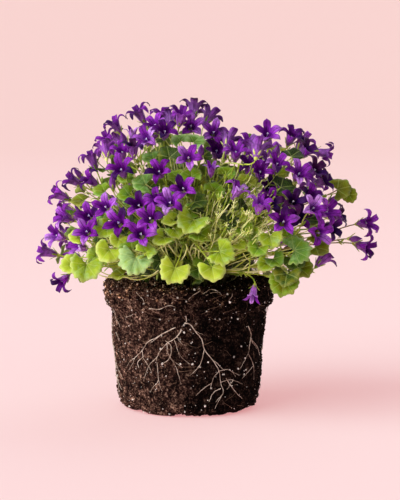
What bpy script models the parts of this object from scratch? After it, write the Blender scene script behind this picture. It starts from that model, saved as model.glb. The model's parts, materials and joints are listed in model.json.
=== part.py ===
"""Bellflower on its bare root ball: starry bells on thin stalks, scalloped leaves, soil and roots.

Origin: centre of the root ball's flat base.  Z is up and the photographed side faces -Y.
Sizes are in millimetres in this file and become metres when a mesh is made.
"""

import math
import random

import bmesh
import bpy
from mathutils import Vector
from mathutils.bvhtree import BVHTree

MM = 0.001
SEED = 10

# Root ball
SOIL_TOP = 88.0
BALL_SEGMENTS = 28
BALL_PROFILE = (
    (0.0, 42.0), (1.8, 46.2), (6.5, 48.2), (38.0, 50.7), (69.5, 53.2), (72.5, 57.0),
    (85.5, 57.6), (88.3, 54.5),
)
HOLE_RADIUS = 1.8
HOLE_DEPTH = 6.5
HOLE_SIDES = 4

# Plant
BLOOM_LENGTH = 15.0
BLOOM_COUNT = 104
SPRAY_SIZE = 3
SPRAY_COUNT = 34
SHOOT_COUNT = 16
STEM_RADIUS = 0.95
STALK_RADIUS = 0.75
BLADE_THICKNESS = 0.75
PLANT_GAP = 0.45
STEM_ZONE = 37.0
FRONT_REACH = 96.0

# How far the plant reaches round its crown, seen from the front: degrees from the right, reach
REACH = (
    (-40, 92), (-20, 97), (0, 106), (15, 114), (30, 119), (42, 128), (55, 126), (70, 112),
    (80, 110), (90, 121), (105, 120), (120, 119), (132, 111), (145, 108), (160, 104),
    (175, 104), (190, 96), (220, 92),
)

# The place the plant is seen from in the photo
SIGHT_TILT = math.radians(7.0)
SIGHT_DISTANCE = 1500.0
AIM = Vector((7.9, 0.0, 108.05))
RIGHT = Vector((1.0, 0.0, 0.0))
INWARD = Vector((0.0, math.cos(SIGHT_TILT), -math.sin(SIGHT_TILT)))
UPWARD = Vector((0.0, math.sin(SIGHT_TILT), math.cos(SIGHT_TILT)))
CROWN = Vector((0.0, 0.0, SOIL_TOP))

# Blooms as seen from the front: mouth across and up, foot across and up, depth behind the
# outer surface, and 1 when it turns to the viewer or -1 when it turns away
BLOOMS = (
    (-102, 107, -87, 103, 0, 1), (-89, 84, -82, 91, 0, 1), (-93, 147, -80, 141, 0, 1),
    (-83, 157, -72, 151, 0, 1), (-88, 131, -78, 127, 0, 1), (-93, 118, -84, 115, 0, 1),
    (-71, 121, -68, 117, 0, 1), (-78, 111, -69, 107, 0, 1), (-70, 132, -66, 128, 4, 1),
    (-58, 138, -55, 134, 0, 1), (-68, 174, -63, 161, 0, 1), (-58, 180, -56, 168, 4, -1),
    (-59, 187, -51, 177, 10, 1), (-52, 196, -46, 186, 0, 1), (-70, 157, -61, 151, 2, 1),
    (-39, 191, -38, 179, 6, 1), (-46, 178, -45, 168, 0, 1), (-38, 181, -38, 170, 2, 1),
    (-35, 203, -29, 193, 0, 1), (-24, 196, -20, 187, 2, 1), (-18, 204, -17, 192, 4, 1),
    (-11, 200, -13, 189, 10, -1), (-4, 204, -7, 191, 0, 1), (-30, 185, -26, 180, 0, 1),
    (-16, 191, -17, 183, 0, 1), (4, 207, 3, 195, 0, -1), (2, 194, 1, 189, 0, 1),
    (15, 201, 10, 192, 6, -1), (18, 190, 16, 185, 0, 1), (0, 172, 0, 168, 0, 1),
    (-21, 163, -18, 157, 0, 1), (-4, 151, -3, 146, 0, 1), (-13, 141, -12, 136, 2, 1),
    (-23, 143, -20, 138, 6, 1), (-35, 139, -32, 135, 2, 1), (-27, 130, -25, 126, 0, 1),
    (-33, 119, -32, 115, 0, 1), (-49, 127, -46, 123, 0, 1), (28, 186, 25, 176, 4, -1),
    (33, 179, 32, 167, 0, 1), (43, 184, 39, 174, 0, 1), (48, 179, 46, 169, 8, -1),
    (55, 189, 53, 182, 0, 1), (72, 188, 68, 178, 0, 1), (79, 184, 74, 174, 8, -1),
    (83, 178, 75, 170, 4, 1), (98, 173, 84, 176, 0, 1), (50, 163, 48, 156, 0, 1),
    (62, 169, 59, 161, 0, 1), (77, 161, 73, 155, 0, 1), (89, 164, 81, 158, 2, 1),
    (95, 156, 85, 152, 4, 1), (85, 146, 80, 141, 0, 1), (73, 142, 70, 137, 0, 1),
    (87, 137, 82, 133, -8, 1), (98, 135, 89, 131, 0, 1), (107, 132, 95, 129, 6, 1),
    (100, 123, 91, 123, 4, 1), (91, 119, 85, 119, 0, 1), (66, 128, 64, 124, 0, 1),
    (57, 141, 54, 136, 6, 1), (50, 141, 47, 131, 0, 1), (36, 152, 29, 141, 0, 1),
    (16, 166, 15, 156, 0, 1), (44, 74, 46, 84, 0, 1), (124, 126, 115, 125, 0, 1),
    (123, 109, 113, 112, 0, 1), (77, 131, 73, 128, 2, 1), (57, 152, 53, 146, 8, 1),
    (43, 167, 41, 158, 10, 1), (20, 178, 18, 170, 10, 1), (-48, 166, -44, 157, 10, 1),
)

# Closed buds as seen from the front: tip across and up, foot across and up
BUDS = (
    (-53, 161, -52, 149), (-47, 190, -43, 180), (121, 115, 110, 115), (62, 181, 60, 171),
    (-80, 165, -73, 156), (9, 181, 8, 171), (105, 145, 96, 140),
)

# Leaves as seen from the front: middle across and up, blade radius, way the tip points in
# degrees from the right, degrees the face is turned up, depth behind the outer surface
LEAVES = (
    (-77, 141, 10, 205, 70, 6), (-84, 96, 8, 200, 30, 0), (-71, 92, 12, 262, 20, 0),
    (-79, 116, 7, 180, 35, 6), (-60, 120, 9, 220, 35, 6), (-57, 104, 10, 240, 30, 0),
    (-38, 97, 13, 255, 25, 0), (-43, 109, 9, 150, 45, 6), (-50, 90, 9, 200, 72, 6),
    (-27, 107, 8, 60, 50, 10), (-11, 90, 11, 250, 10, 0), (17, 91, 10, 280, 20, 0),
    (26, 104, 11, 330, 25, 0), (1, 124, 12, 250, 40, 4), (8, 141, 9, 20, 45, 8),
    (-14, 127, 8, 200, 50, 8), (11, 117, 9, 320, 40, 8), (-20, 114, 8, 230, 40, 6),
    (2, 161, 8, 90, 40, 12), (6, 184, 8, 60, 40, 12), (-7, 185, 7, 110, 40, 12),
    (-14, 175, 9, 100, 25, 8), (-28, 171, 8, 150, 50, 10), (-34, 153, 9, 170, 35, 10),
    (-26, 152, 8, 60, 40, 14), (-45, 158, 8, 160, 40, 12), (-45, 145, 8, 190, 40, 12),
    (57, 113, 9, 280, 15, 0), (47, 106, 8, 250, 40, 6), (78, 108, 12, 15, 25, 0),
    (61, 99, 8, 300, 45, 4), (67, 87, 10, 262, 35, 0), (80, 92, 9, 300, 45, 4),
    (92, 108, 9, 340, 40, 6), (107, 150, 10, 20, 30, 4), (74, 174, 9, 60, 50, 10),
    (63, 178, 8, 80, 70, 14), (40, 157, 8, 90, 45, 12), (30, 128, 8, 40, 40, 12),
    (68, 151, 9, 20, 50, 10), (64, 162, 8, 60, 40, 14), (60, 137, 8, 330, 40, 12),
    (40, 120, 8, 300, 40, 10), (20, 150, 8, 60, 40, 16), (-62, 148, 8, 170, 45, 12),
    (86, 128, 8, 350, 45, 12),
)

# Roots on the front of the ball as seen from the front: runs of points across and up
FRONT_ROOTS = (
    (
        ((-9, 54), (-17, 50), (-22, 47), (-28, 44), (-32, 38), (-37, 33), (-38, 30), (-41, 25)),
        ((-32, 38), (-31, 33), (-28, 29)),
    ),
    (
        ((-5, 53), (-6, 50), (-10, 46), (-15, 43), (-20, 37), (-22, 33), (-27, 28), (-31, 17)),
        ((-22, 33), (-21, 22), (-20, 15), (-18, 10)),
        ((-15, 43), (-14, 36), (-9, 28), (-7, 22), (-5, 15)),
        ((-10, 46), (-8, 40), (-6, 33)),
    ),
    (
        ((-3, 57), (1, 56), (5, 51), (9, 46), (11, 39), (17, 31), (21, 24), (22, 16), (24, 10),
         (21, 4), (18, -2)),
        ((11, 39), (9, 31), (7, 26)),
        ((21, 24), (27, 25), (31, 23), (35, 21)),
        ((22, 16), (28, 18), (33, 17), (37, 15)),
        ((21, 24), (17, 19), (15, 12)),
    ),
    (
        ((41, 55), (43, 49), (42, 42), (41, 36), (38, 30), (35, 25)),
        ((41, 36), (44, 30), (45, 25), (45, 18)),
    ),
)
GROWN_ROOTS = ((48.0, 44.0), (112.0, 58.0), (182.0, 50.0))


def sight_line(across, up):
    """Return the start and direction of the line of sight through a point of the front view."""
    eye = AIM - INWARD * SIGHT_DISTANCE
    goal = AIM + RIGHT * (across - AIM.x) + UPWARD * (up - AIM.dot(UPWARD))
    return eye, (goal - eye).normalized()


def reach(direction):
    """Return the distance from the crown to the plant's outer surface along a direction."""
    angle = math.degrees(math.atan2(direction.z, direction.x))
    if angle < -70:
        angle += 360
    side = REACH[-1][1] if angle > REACH[-1][0] else REACH[0][1]
    for (a0, r0), (a1, r1) in zip(REACH, REACH[1:]):
        if a0 <= angle <= a1:
            side = r0 + (r1 - r0) * (angle - a0) / (a1 - a0)
    flat = (direction.x ** 2 + direction.z ** 2) / side ** 2
    return 1.0 / math.sqrt(flat + (direction.y / FRONT_REACH) ** 2)


def on_surface(across, up):
    """Return the point where a line of sight first meets the plant's outer surface."""
    start, way = sight_line(across, up)
    best, best_excess = None, 1e9
    for step in range(240):
        point = start + way * (SIGHT_DISTANCE - 240.0 + 2.0 * step)
        arm = point - CROWN
        excess = arm.length / reach(arm.normalized()) - 1.0
        if excess < best_excess:
            best, best_excess = point, excess
        if excess <= 0.0:
            break
    return best


def turned(across, up, length, facing):
    """Return the unit direction that shows as a short run across and up in the front view."""
    seen = RIGHT * across + UPWARD * up
    if seen.length > 0.97 * length:
        seen = seen.normalized() * 0.97 * length
    depth = math.sqrt(length ** 2 - seen.length ** 2)
    return (seen - INWARD * depth * facing).normalized()


def square_axes(axis, hint=Vector((0.0, 0.0, 1.0))):
    """Return two unit directions square to an axis and to each other."""
    if abs(axis.dot(hint)) > 0.98:
        hint = Vector((0.0, 1.0, 0.0))
    first = axis.cross(hint).normalized()
    return first, axis.cross(first).normalized()


def bezier(anchors, count):
    """Return evenly spaced points along a curve with four anchors."""
    a, b, c, d = anchors
    points = []
    for index in range(count + 1):
        t = index / count
        s = 1.0 - t
        points.append(a * s ** 3 + b * 3 * s * s * t + c * 3 * s * t * t + d * t ** 3)
    return points


class Shape:
    """A closed mesh in millimetres, with what is needed to test it against others."""

    def __init__(self, points, faces):
        self.points = points
        self.faces = faces
        self.tree = BVHTree.FromPolygons(points, faces)
        self.low = Vector([min(p[i] for p in points) for i in range(3)])
        self.high = Vector([max(p[i] for p in points) for i in range(3)])
        self.probes = list(points)
        for face in faces:
            for first, second in zip(face, face[1:] + face[:1]):
                if first < second:
                    self.probes.append((points[first] + points[second]) / 2)
            if len(face) == 3:
                self.probes.append(sum((points[i] for i in face), Vector()) / 3)

    def near(self, other, gap):
        """Tell whether another shape comes closer than a gap."""
        for i in range(3):
            if self.low[i] - gap > other.high[i] or other.low[i] - gap > self.high[i]:
                return False
        if self.tree.overlap(other.tree):
            return True
        for tree, probes in ((self.tree, other.probes), (other.tree, self.probes)):
            for probe in probes:
                if tree.find_nearest(probe, gap)[0] is not None:
                    return True
        return False

    def crosses_itself(self):
        """Tell whether faces that share no corner cut each other."""
        return any(
            a < b and not set(self.faces[a]) & set(self.faces[b])
            for a, b in self.tree.overlap(self.tree)
        )


class Field:
    """Shapes already placed, so that a new one can be kept clear of them."""

    def __init__(self):
        self.shapes = {}

    def clear(self, shape, ignore=(), gap=PLANT_GAP):
        """Tell whether a shape keeps its gap to everything placed but the names to ignore."""
        return not any(
            shape.near(other, gap) for name, other in self.shapes.items() if name not in ignore
        )


def ring_points(centre, u, v, radius, count, turn=0.0):
    """Return points evenly round a centre."""
    return [
        centre + (u * math.cos(turn + math.tau * k / count)
                  + v * math.sin(turn + math.tau * k / count)) * radius
        for k in range(count)
    ]


def bridge(low, low_count, high, high_count):
    """Return the triangles between two rings of points given by their first index and count."""
    faces, i, j = [], 0, 0
    while i < low_count or j < high_count:
        a, b = low + i % low_count, high + j % high_count
        if j == high_count or (i < low_count and (i + 1) / low_count <= (j + 1) / high_count):
            faces.append((a, low + (i + 1) % low_count, b))
            i += 1
        else:
            faces.append((a, high + (j + 1) % high_count, b))
            j += 1
    return faces


def stalk_rings(path, u, radius):
    """Return three-sided rings along a path that starts at a bloom or leaf, and their faces.

    A path that runs down into a hole thickens on the way.  The path's first point is left out:
    the bloom or leaf has its own first ring there, whose three points come just before these.
    """
    points, faces = [], []
    for index in range(1, len(path)):
        ahead = path[min(index + 1, len(path) - 1)]
        way = (path[index - 1] - ahead).normalized()
        u = (u - way * u.dot(way)).normalized()
        thick = radius
        if len(path) > 5:
            thick += (STEM_RADIUS - radius) * index / (len(path) - 1)
        points += ring_points(path[index], u, way.cross(u), thick, 3)
        base = 3 * index
        faces += [tuple(reversed(face)) for face in bridge(base - 3, 3, base, 3)]
    last = 3 * (len(path) - 1)
    faces.append((last, last + 2, last + 1))
    return points, faces


def bloom_shape(foot, axis, roll, path=None):
    """Return an open bell with five pointed lobes, with its stalk if a path is given.

    The path runs from the foot to the place where the stalk ends in its stem.
    """
    first, second = square_axes(axis)
    u = first * math.cos(roll) + second * math.sin(roll)
    v = axis.cross(u)
    points = ring_points(foot, u, v, 1.35, 3)
    faces = [(2, 1, 0)]
    if path:
        more, faces = stalk_rings(path, u, STALK_RADIUS)
        points += more
    base = len(points)
    half = math.pi / 5
    points += ring_points(foot + axis * 8.6, u, v, 3.7, 5)
    points += ring_points(foot + axis * 13.4, u, v, 10.8, 5)
    points += ring_points(foot + axis * 11.9, u, v, 4.9, 5, half)
    points += ring_points(foot + axis * 14.2, u, v, 10.5, 5)
    points += ring_points(foot + axis * 12.8, u, v, 4.6, 5, half)
    points.append(foot + axis * 9.6)
    faces = faces + bridge(0, 3, base, 5)
    for k in range(5):
        n, b = (k + 1) % 5, (k + 4) % 5
        throat, tip, dip, tip_in, dip_in = (base + 5 * row for row in range(5))
        faces += [(throat + k, dip + k, tip + k), (throat + k, tip + k, dip + b)]
        faces += [(throat + k, throat + n, dip + k)]
        faces += [(tip + k, dip + k, dip_in + k), (tip + k, dip_in + k, tip_in + k)]
        faces += [(dip + k, tip + n, tip_in + n), (dip + k, tip_in + n, dip_in + k)]
        faces += [(base + 25, tip_in + k, dip_in + k), (base + 25, dip_in + k, tip_in + n)]
    return Shape(points, faces)


def bud_shape(foot, axis, path=None):
    """Return a closed bud, with its stalk if a path is given."""
    u, v = square_axes(axis)
    points = ring_points(foot, u, v, 1.2, 3)
    faces = [(2, 1, 0)]
    if path:
        more, faces = stalk_rings(path, u, STALK_RADIUS)
        points += more
    base = len(points)
    points += ring_points(foot + axis * 5.5, u, v, 2.3, 5)
    points += ring_points(foot + axis * 9.5, u, v, 1.6, 5)
    points.append(foot + axis * 12.5)
    faces = faces + bridge(0, 3, base, 5) + bridge(base, 5, base + 5, 5)
    for k in range(5):
        faces.append((base + 5 + k, base + 5 + (k + 1) % 5, base + 10))
    return Shape(points, faces)


def leaf_shape(joint, tip, face, radius, path=None):
    """Return a kidney-shaped blade with a scalloped edge, with its stalk if a path is given."""
    side = face.cross(tip).normalized()
    half = face * BLADE_THICKNESS / 2
    points = [joint + half - side * 0.6, joint - half, joint + half + side * 0.6]
    faces = [(2, 1, 0)]
    if path:
        more, faces = stalk_rings(path, (face * 0.58 - side).normalized(), 0.65)
        points += more
    base = len(points)
    count = 13 if radius > 10.2 else 9
    for index in range(count):
        angle = math.radians(-126.0 + 252.0 * index / (count - 1))
        spread = radius * (0.83 if index % 2 else 1.0) * (1.0 - 0.1 * (angle / 2.2) ** 2)
        lift = radius * (0.14 * abs(math.sin(angle)) + (0.08 if index % 2 else 0.0))
        rim = joint + tip * (spread * math.cos(angle)) + side * (spread * math.sin(angle))
        points += [rim + face * lift + half, rim + face * lift - half]
    middle = count // 2
    for k in range(count - 1):
        a, b = base + 2 * k, base + 2 * k + 2
        faces += [(0 if k < middle else 2, a, b), (1, b + 1, a + 1)]
        faces += [(a, a + 1, b + 1), (a, b + 1, b)]
    last = base + 2 * (count - 1)
    faces += [(0, base + 2 * middle, 2)]
    faces += [(0, 1, base + 1), (0, base + 1, base)]
    faces += [(2, last, last + 1), (2, last + 1, 1)]
    return Shape(points, faces)


def tube_shape(path, start_radius, end_radius):
    """Return a closed three-sided tube along a path, tapering from one radius to the other."""
    points, faces = [], []
    way = (path[1] - path[0]).normalized()
    u, _ = square_axes(way)
    last = len(path) - 1
    for index, centre in enumerate(path):
        ahead = path[min(index + 1, last)]
        way = (ahead - path[max(index - 1, 0)]).normalized()
        u = (u - way * u.dot(way)).normalized()
        radius = start_radius + (end_radius - start_radius) * index / last
        points += ring_points(centre, u, way.cross(u), radius, 3)
        if index:
            faces += bridge(3 * index - 3, 3, 3 * index, 3)
    faces += [(0, 2, 1), (3 * last, 3 * last + 1, 3 * last + 2)]
    return Shape(points, faces)


def stub_shape(foot, axis):
    """Return the space kept free behind a bloom or leaf for its stalk."""
    return tube_shape([foot - axis * 9.0, foot - axis * 0.8], 1.1, 1.1)


def place_along(field, start, step, count, make):
    """Return the first clear place at steps along a direction, nearest the start first.

    The function make returns a shape and the stub of its stalk for a place.
    """
    for index in range(count):
        spot = start + step * ((index + 1) // 2 * (1 if index % 2 else -1))
        shape, stub = make(spot)
        if field.clear(shape) and field.clear(stub):
            return spot, shape, stub
    return None, None, None


def keep(field, items, kind, shape, stub, **details):
    """Keep a placed bloom, bud or leaf and the space for its stalk."""
    name = f"{kind}_{len(items)}"
    field.shapes[name] = shape
    field.shapes["stub_" + name] = stub
    items.append({"name": name, "kind": kind, **details})


def place_front_blooms(field, heads):
    """Put every bloom and bud of the front view on the plant, shifting it only in depth."""
    for index, (x, z, foot_x, foot_z, depth, facing) in enumerate(BLOOMS):
        axis = turned(x - foot_x, z - foot_z, BLOOM_LENGTH, facing)
        place_bloom(field, heads, on_surface(x, z) + INWARD * depth,
                    sight_line(x, z)[1] * 2.0, 31, axis, 1.1 * index)
    for x, z, foot_x, foot_z in BUDS:
        axis = turned(x - foot_x, z - foot_z, 13.0, 1)

        def make(point, axis=axis):
            foot = point - axis * 12.5
            return bud_shape(foot, axis), stub_shape(foot, axis)

        spot, shape, stub = place_along(field, on_surface(x, z), sight_line(x, z)[1] * 2.0, 31, make)
        if shape:
            keep(field, heads, "bud", shape, stub, foot=spot - axis * 12.5, axis=axis, roll=0.0)


def place_bloom(field, heads, mouth, step, count, axis, roll):
    """Put one bloom at the first clear place along a direction; tell whether there was one."""
    def make(point):
        foot = point - axis * 13.0
        return bloom_shape(foot, axis, roll), stub_shape(foot, axis)

    spot, shape, stub = place_along(field, mouth, step, count, make)
    if shape:
        keep(field, heads, "bloom", shape, stub, foot=spot - axis * 13.0, axis=axis, roll=roll)
    return shape is not None


def wild_direction(rng, low_angle, high_angle):
    """Return a random direction from the crown, between two angles from straight up."""
    low, high = math.cos(math.radians(high_angle)), math.cos(math.radians(low_angle))
    z = rng.uniform(low, high)
    turn = rng.uniform(0.0, math.tau)
    flat = math.sqrt(1.0 - z * z)
    return Vector((flat * math.cos(turn), flat * math.sin(turn), z))


def place_back_blooms(field, heads, rng):
    """Fill the sides and back with blooms, each as far as it can be from the others."""
    tries = 0
    while len(heads) < BLOOM_COUNT + len(BUDS) and tries < 400:
        tries += 1
        best, best_room = None, 0.0
        for _ in range(14):
            way = wild_direction(rng, 12.0, 88.0)
            spot = CROWN + way * reach(way) * rng.uniform(0.92, 1.0)
            if spot.y < 12.0:
                continue
            room = min((spot - head["foot"] - head["axis"] * 13.0).length for head in heads)
            if room > best_room:
                best, best_room = spot, room
        if best is None:
            continue
        outward = (best - CROWN).normalized()
        wobble = Vector((rng.uniform(-0.5, 0.5), rng.uniform(-0.5, 0.5), rng.uniform(-0.3, 0.5)))
        axis = (outward + wobble).normalized()
        roll = rng.uniform(0.0, 6.0)
        place_bloom(field, heads, best, outward * -2.0, 9, axis, roll)


def leaf_ways(tip_angle, turn_up):
    """Return the tip and face directions of a leaf given as in the front view."""
    turn_up = math.radians(turn_up)
    face = (UPWARD * math.sin(turn_up) - INWARD * math.cos(turn_up)).normalized()
    angle = math.radians(tip_angle)
    tip = RIGHT * math.cos(angle) + UPWARD * math.sin(angle)
    tip = (tip - face * tip.dot(face)).normalized()
    return tip, face


def try_leaf(field, leaves, rng, middle, step, tip, face, radius):
    """Place one leaf at the first clear place, smaller or tilted if it has to be."""
    for attempt in range(24):
        size = radius * (1.0, 1.0, 1.0, 0.86, 0.86, 0.74)[attempt // 4]
        wobble = 0.0 if attempt == 0 else 0.35
        new_face = (face + Vector([rng.uniform(-wobble, wobble) for _ in range(3)])).normalized()
        new_tip = (tip - new_face * tip.dot(new_face)).normalized()

        def make(point, t=new_tip, f=new_face, s=size):
            joint = point - t * s * 0.45
            return leaf_shape(joint, t, f, s), stub_shape(joint, (t + f * 0.9).normalized())

        spot, shape, stub = place_along(field, middle, step, 13, make)
        if shape:
            keep(field, leaves, "leaf", shape, stub, foot=spot - new_tip * size * 0.45,
                 tip=new_tip, axis=(new_tip + new_face * 0.9).normalized(), face=new_face,
                 radius=size)
            return True
    return False


def place_leaves(field, leaves, rng, back_count):
    """Put the leaves of the front view on the plant, then as dense a coat round the back."""
    for x, z, radius, tip_angle, turn_up, depth in LEAVES:
        tip, face = leaf_ways(tip_angle, turn_up)
        middle = on_surface(x, z) + INWARD * (depth + 2.0)
        try_leaf(field, leaves, rng, middle, sight_line(x, z)[1] * 2.0, tip, face, radius)
    front = len(leaves)
    tries = 0
    while len(leaves) < front + back_count and tries < 300:
        tries += 1
        skirt = len(leaves) % 2 == 0
        way = wild_direction(rng, 78.0, 96.0) if skirt else wild_direction(rng, 25.0, 80.0)
        spot = CROWN + way * reach(way) * (rng.uniform(0.72, 0.98) if skirt else 0.86)
        if spot.y < 14.0 or min((spot - leaf["foot"]).length for leaf in leaves) < 15.0:
            continue
        outward = Vector((way.x, way.y, 0.0)).normalized()
        lean = rng.uniform(0.3, 1.0)
        face = (outward + Vector((0.0, 0.0, lean))).normalized()
        side = outward.cross(Vector((0.0, 0.0, 1.0)))
        tip = outward * 0.5 - Vector((0.0, 0.0, 1.0)) + side * rng.uniform(-0.9, 0.9)
        if not skirt:
            tip = outward + side * rng.uniform(-1.0, 1.0)
        tip = (tip - face * tip.dot(face)).normalized()
        try_leaf(field, leaves, rng, spot, way * -2.0, tip, face, rng.uniform(8.5, 12.0))


def hole_place(direction, used, rng):
    """Return a free place on the soil for a stem that leads in a direction."""
    tilt = math.acos(max(-0.2, min(1.0, direction.z)))
    spread = math.sqrt((1.0 - math.cos(tilt)) / (1.0 - math.cos(math.radians(97.0))))
    radius = 5.0 + (STEM_ZONE - 5.0) * min(1.0, spread)
    turn = math.atan2(direction.y, direction.x)
    for attempt in range(300):
        wander = attempt * 0.045
        r = min(radius + rng.uniform(-wander, wander), STEM_ZONE + 6.0)
        a = turn + rng.uniform(-wander, wander) * 6.0 / max(r, 6.0)
        place = Vector((r * math.cos(a), r * math.sin(a), SOIL_TOP))
        if r > 3.0 and all((place - other).length > 5.2 for other in used):
            used.append(place)
            return place
    raise RuntimeError("no free place for a stem")


def main_stem(hole, item, rng, attempt):
    """Return the path of a stem from the foot of its bloom or leaf down into its hole."""
    foot = item["foot"]
    height = max(foot.z - SOIL_TOP, 0.0)
    out = Vector((foot.x - hole.x, foot.y - hole.y, 0.0))
    lead = 14.0 if attempt == 0 else rng.uniform(8.0, 26.0)
    bend = 0.0 if attempt == 0 else min(16.0, 2.0 + attempt * 0.4)
    low = hole + out * 0.12 + Vector((0.0, 0.0, 10.0 + 0.5 * height))
    low += Vector([rng.uniform(-bend, bend) for _ in range(3)])
    high = foot - item["axis"] * lead
    base = hole + Vector((0.0, 0.0, 2.0))
    return bezier((foot, high, low, base), 5) + [hole - Vector((0.0, 0.0, HOLE_DEPTH - 0.6))]


def groups_of(items, size, count):
    """Split items into close groups of about one size, the hardest to reach first."""
    left = list(items)
    groups = []
    while left:
        wanted = math.ceil(len(left) / max(1, count - len(groups)))
        wanted = min(max(wanted, 1), size + 1)
        seed = max(left, key=lambda item: (item["foot"] - CROWN).length - item["foot"].z)
        left.sort(key=lambda item: (item["foot"] - seed["foot"]).length)
        group = [item for item in left[:wanted] if (item["foot"] - seed["foot"]).length < 46.0]
        groups.append(group)
        left = left[len(group):]
    return groups


def grow_stem(field, group, used, rng):
    """Grow a stem from its own hole to one item, with stalks to as many others as it can."""
    middle = sum((item["foot"] for item in group), Vector()) / len(group)
    hole = hole_place((middle - CROWN).normalized(), used, rng)
    best = None
    for attempt in range(120):
        leader = group[attempt % len(group)]
        path = main_stem(hole, leader, rng, attempt // len(group))
        shape = item_shape(leader, path)
        if shape.crosses_itself():
            continue
        if not field.clear(shape, {leader["name"], "stub_" + leader["name"]}):
            continue
        growth = {"path": path, "items": [leader], "shapes": [shape]}
        for item in group:
            if item is not leader:
                add_stalk(field, growth, item, rng, 14)
        if best is None or len(growth["items"]) > len(best["items"]):
            best = growth
        if len(best["items"]) == len(group):
            break
    if best is None:
        used.remove(hole)
    return best


def add_stalk(field, growth, item, rng, tries):
    """Grow a stalk from a growth's stem to one more item; tell whether there was room."""
    path, foot = growth["path"], item["foot"]
    for attempt in range(tries):
        at = rng.randint(1, 3) if item["kind"] != "leaf" else rng.randint(1, 4)
        way = (path[at - 1] - path[at + 1]).normalized()
        start = path[at].lerp(path[at + 1], rng.uniform(0.2, 0.8))
        span = (foot - start).length
        lead = rng.uniform(0.2, 0.6)
        bend = min(9.0, attempt * 0.4)
        first = start + way * span * lead * 0.7
        first += Vector([rng.uniform(-bend, bend) for _ in range(3)])
        second = foot - item["axis"] * max(span * lead, 5.0)
        shape = item_shape(item, bezier((foot, second, first, start), 3 if span > 19.0 else 2))
        if shape.crosses_itself():
            continue
        if field.clear(shape, {item["name"], "stub_" + item["name"]}):
            growth["items"].append(item)
            growth["shapes"].append(shape)
            return True
    return False


def settle(field, growth, first=0):
    """Keep the blooms or leaves of a growth on their stalks, in place of their stubs."""
    for item, shape in list(zip(growth["items"], growth["shapes"]))[first:]:
        field.shapes.pop("stub_" + item["name"])
        field.shapes[item["name"]] = shape


def grow_all(field, groups, used, rng, limit):
    """Grow a stem for each group; what one can't reach goes to the nearest others."""
    grown = []
    left = grow_round(field, groups, used, rng, grown)
    left = share_out(field, left, grown, rng)
    while left and len(grown) < limit:
        more = groups_of(left, 3, limit - len(grown))[:limit - len(grown)]
        reached = len(grown)
        left = grow_round(field, more, used, rng, grown) + [
            item for item in left if not any(item in group for group in more)
        ]
        left = share_out(field, left, grown, rng)
        if len(grown) == reached:
            break
    for item in left:
        del field.shapes[item["name"]]
        del field.shapes["stub_" + item["name"]]
    grown.sort(key=lambda g: (round(g["path"][-1].y), round(g["path"][-1].x)))
    return grown


def grow_round(field, groups, used, rng, grown):
    """Grow one stem for each group and return the items that stay unreached."""
    left = []
    for group in groups:
        growth = grow_stem(field, group, used, rng)
        if growth:
            settle(field, growth)
            grown.append(growth)
        left += [item for item in group if not growth or item not in growth["items"]]
    return left


def share_out(field, items, grown, rng):
    """Give items to the nearest growths that can reach them and return the rest."""
    left = []
    for item in items:
        grown.sort(key=lambda g: min((p - item["foot"]).length for p in g["path"][:5]))
        for growth in grown[:10]:
            if add_stalk(field, growth, item, rng, 40):
                settle(field, growth, len(growth["items"]) - 1)
                break
        else:
            left.append(item)
    return left


def item_shape(item, path):
    """Return a bloom, bud or leaf with its stalk along a path."""
    if item["kind"] == "leaf":
        return leaf_shape(item["foot"], item["tip"], item["face"], item["radius"], path)
    if item["kind"] == "bud":
        return bud_shape(item["foot"], item["axis"], path)
    return bloom_shape(item["foot"], item["axis"], item["roll"], path)


def ball_radius(angle, height):
    """Return the root ball's radius at an angle and height, with its slight unevenness."""
    radius = BALL_PROFILE[-1][1]
    for (z0, r0), (z1, r1) in zip(BALL_PROFILE, BALL_PROFILE[1:]):
        if z0 <= height <= z1:
            radius = r0 + (r1 - r0) * (height - z0) / (z1 - z0)
            break
    uneven = 0.35 * math.sin(5 * angle + 0.11 * height) + 0.3 * math.sin(9 * angle - 0.17 * height)
    foot = max(0.0, 1.0 - height / 9.0)
    uneven -= foot * 1.6 * max(0.0, math.cos(6 * (angle + math.pi / 2))) ** 3
    return radius + uneven


def soil_height(x, y):
    """Return the height of the soil's uneven top at a place inside its rim."""
    r = math.hypot(x, y)
    return SOIL_TOP - 1.0 + 0.5 * math.sin(0.13 * x + 1.0) * math.cos(0.11 * y) - 0.006 * (50 - r)


def guard_shape():
    """Return a closed ring just outside the root ball's rim and side, to keep the plant off it."""
    profile = (
        (46.0, 84.0), (46.0, 88.7), (55.5, 89.3), (58.5, 86.5), (58.7, 71.0), (54.6, 68.0),
        (50.0, 10.0), (46.0, 10.0),
    )
    points, faces = [], []
    for radius, height in profile:
        points += ring_points(
            Vector((0.0, 0.0, height)), Vector((1.0, 0.0, 0.0)), Vector((0.0, 1.0, 0.0)),
            radius, BALL_SEGMENTS,
        )
    for ring in range(len(profile)):
        low = ring * BALL_SEGMENTS
        high = (ring + 1) % len(profile) * BALL_SEGMENTS
        faces += bridge(low, BALL_SEGMENTS, high, BALL_SEGMENTS)
    return Shape(points, faces)


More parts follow.
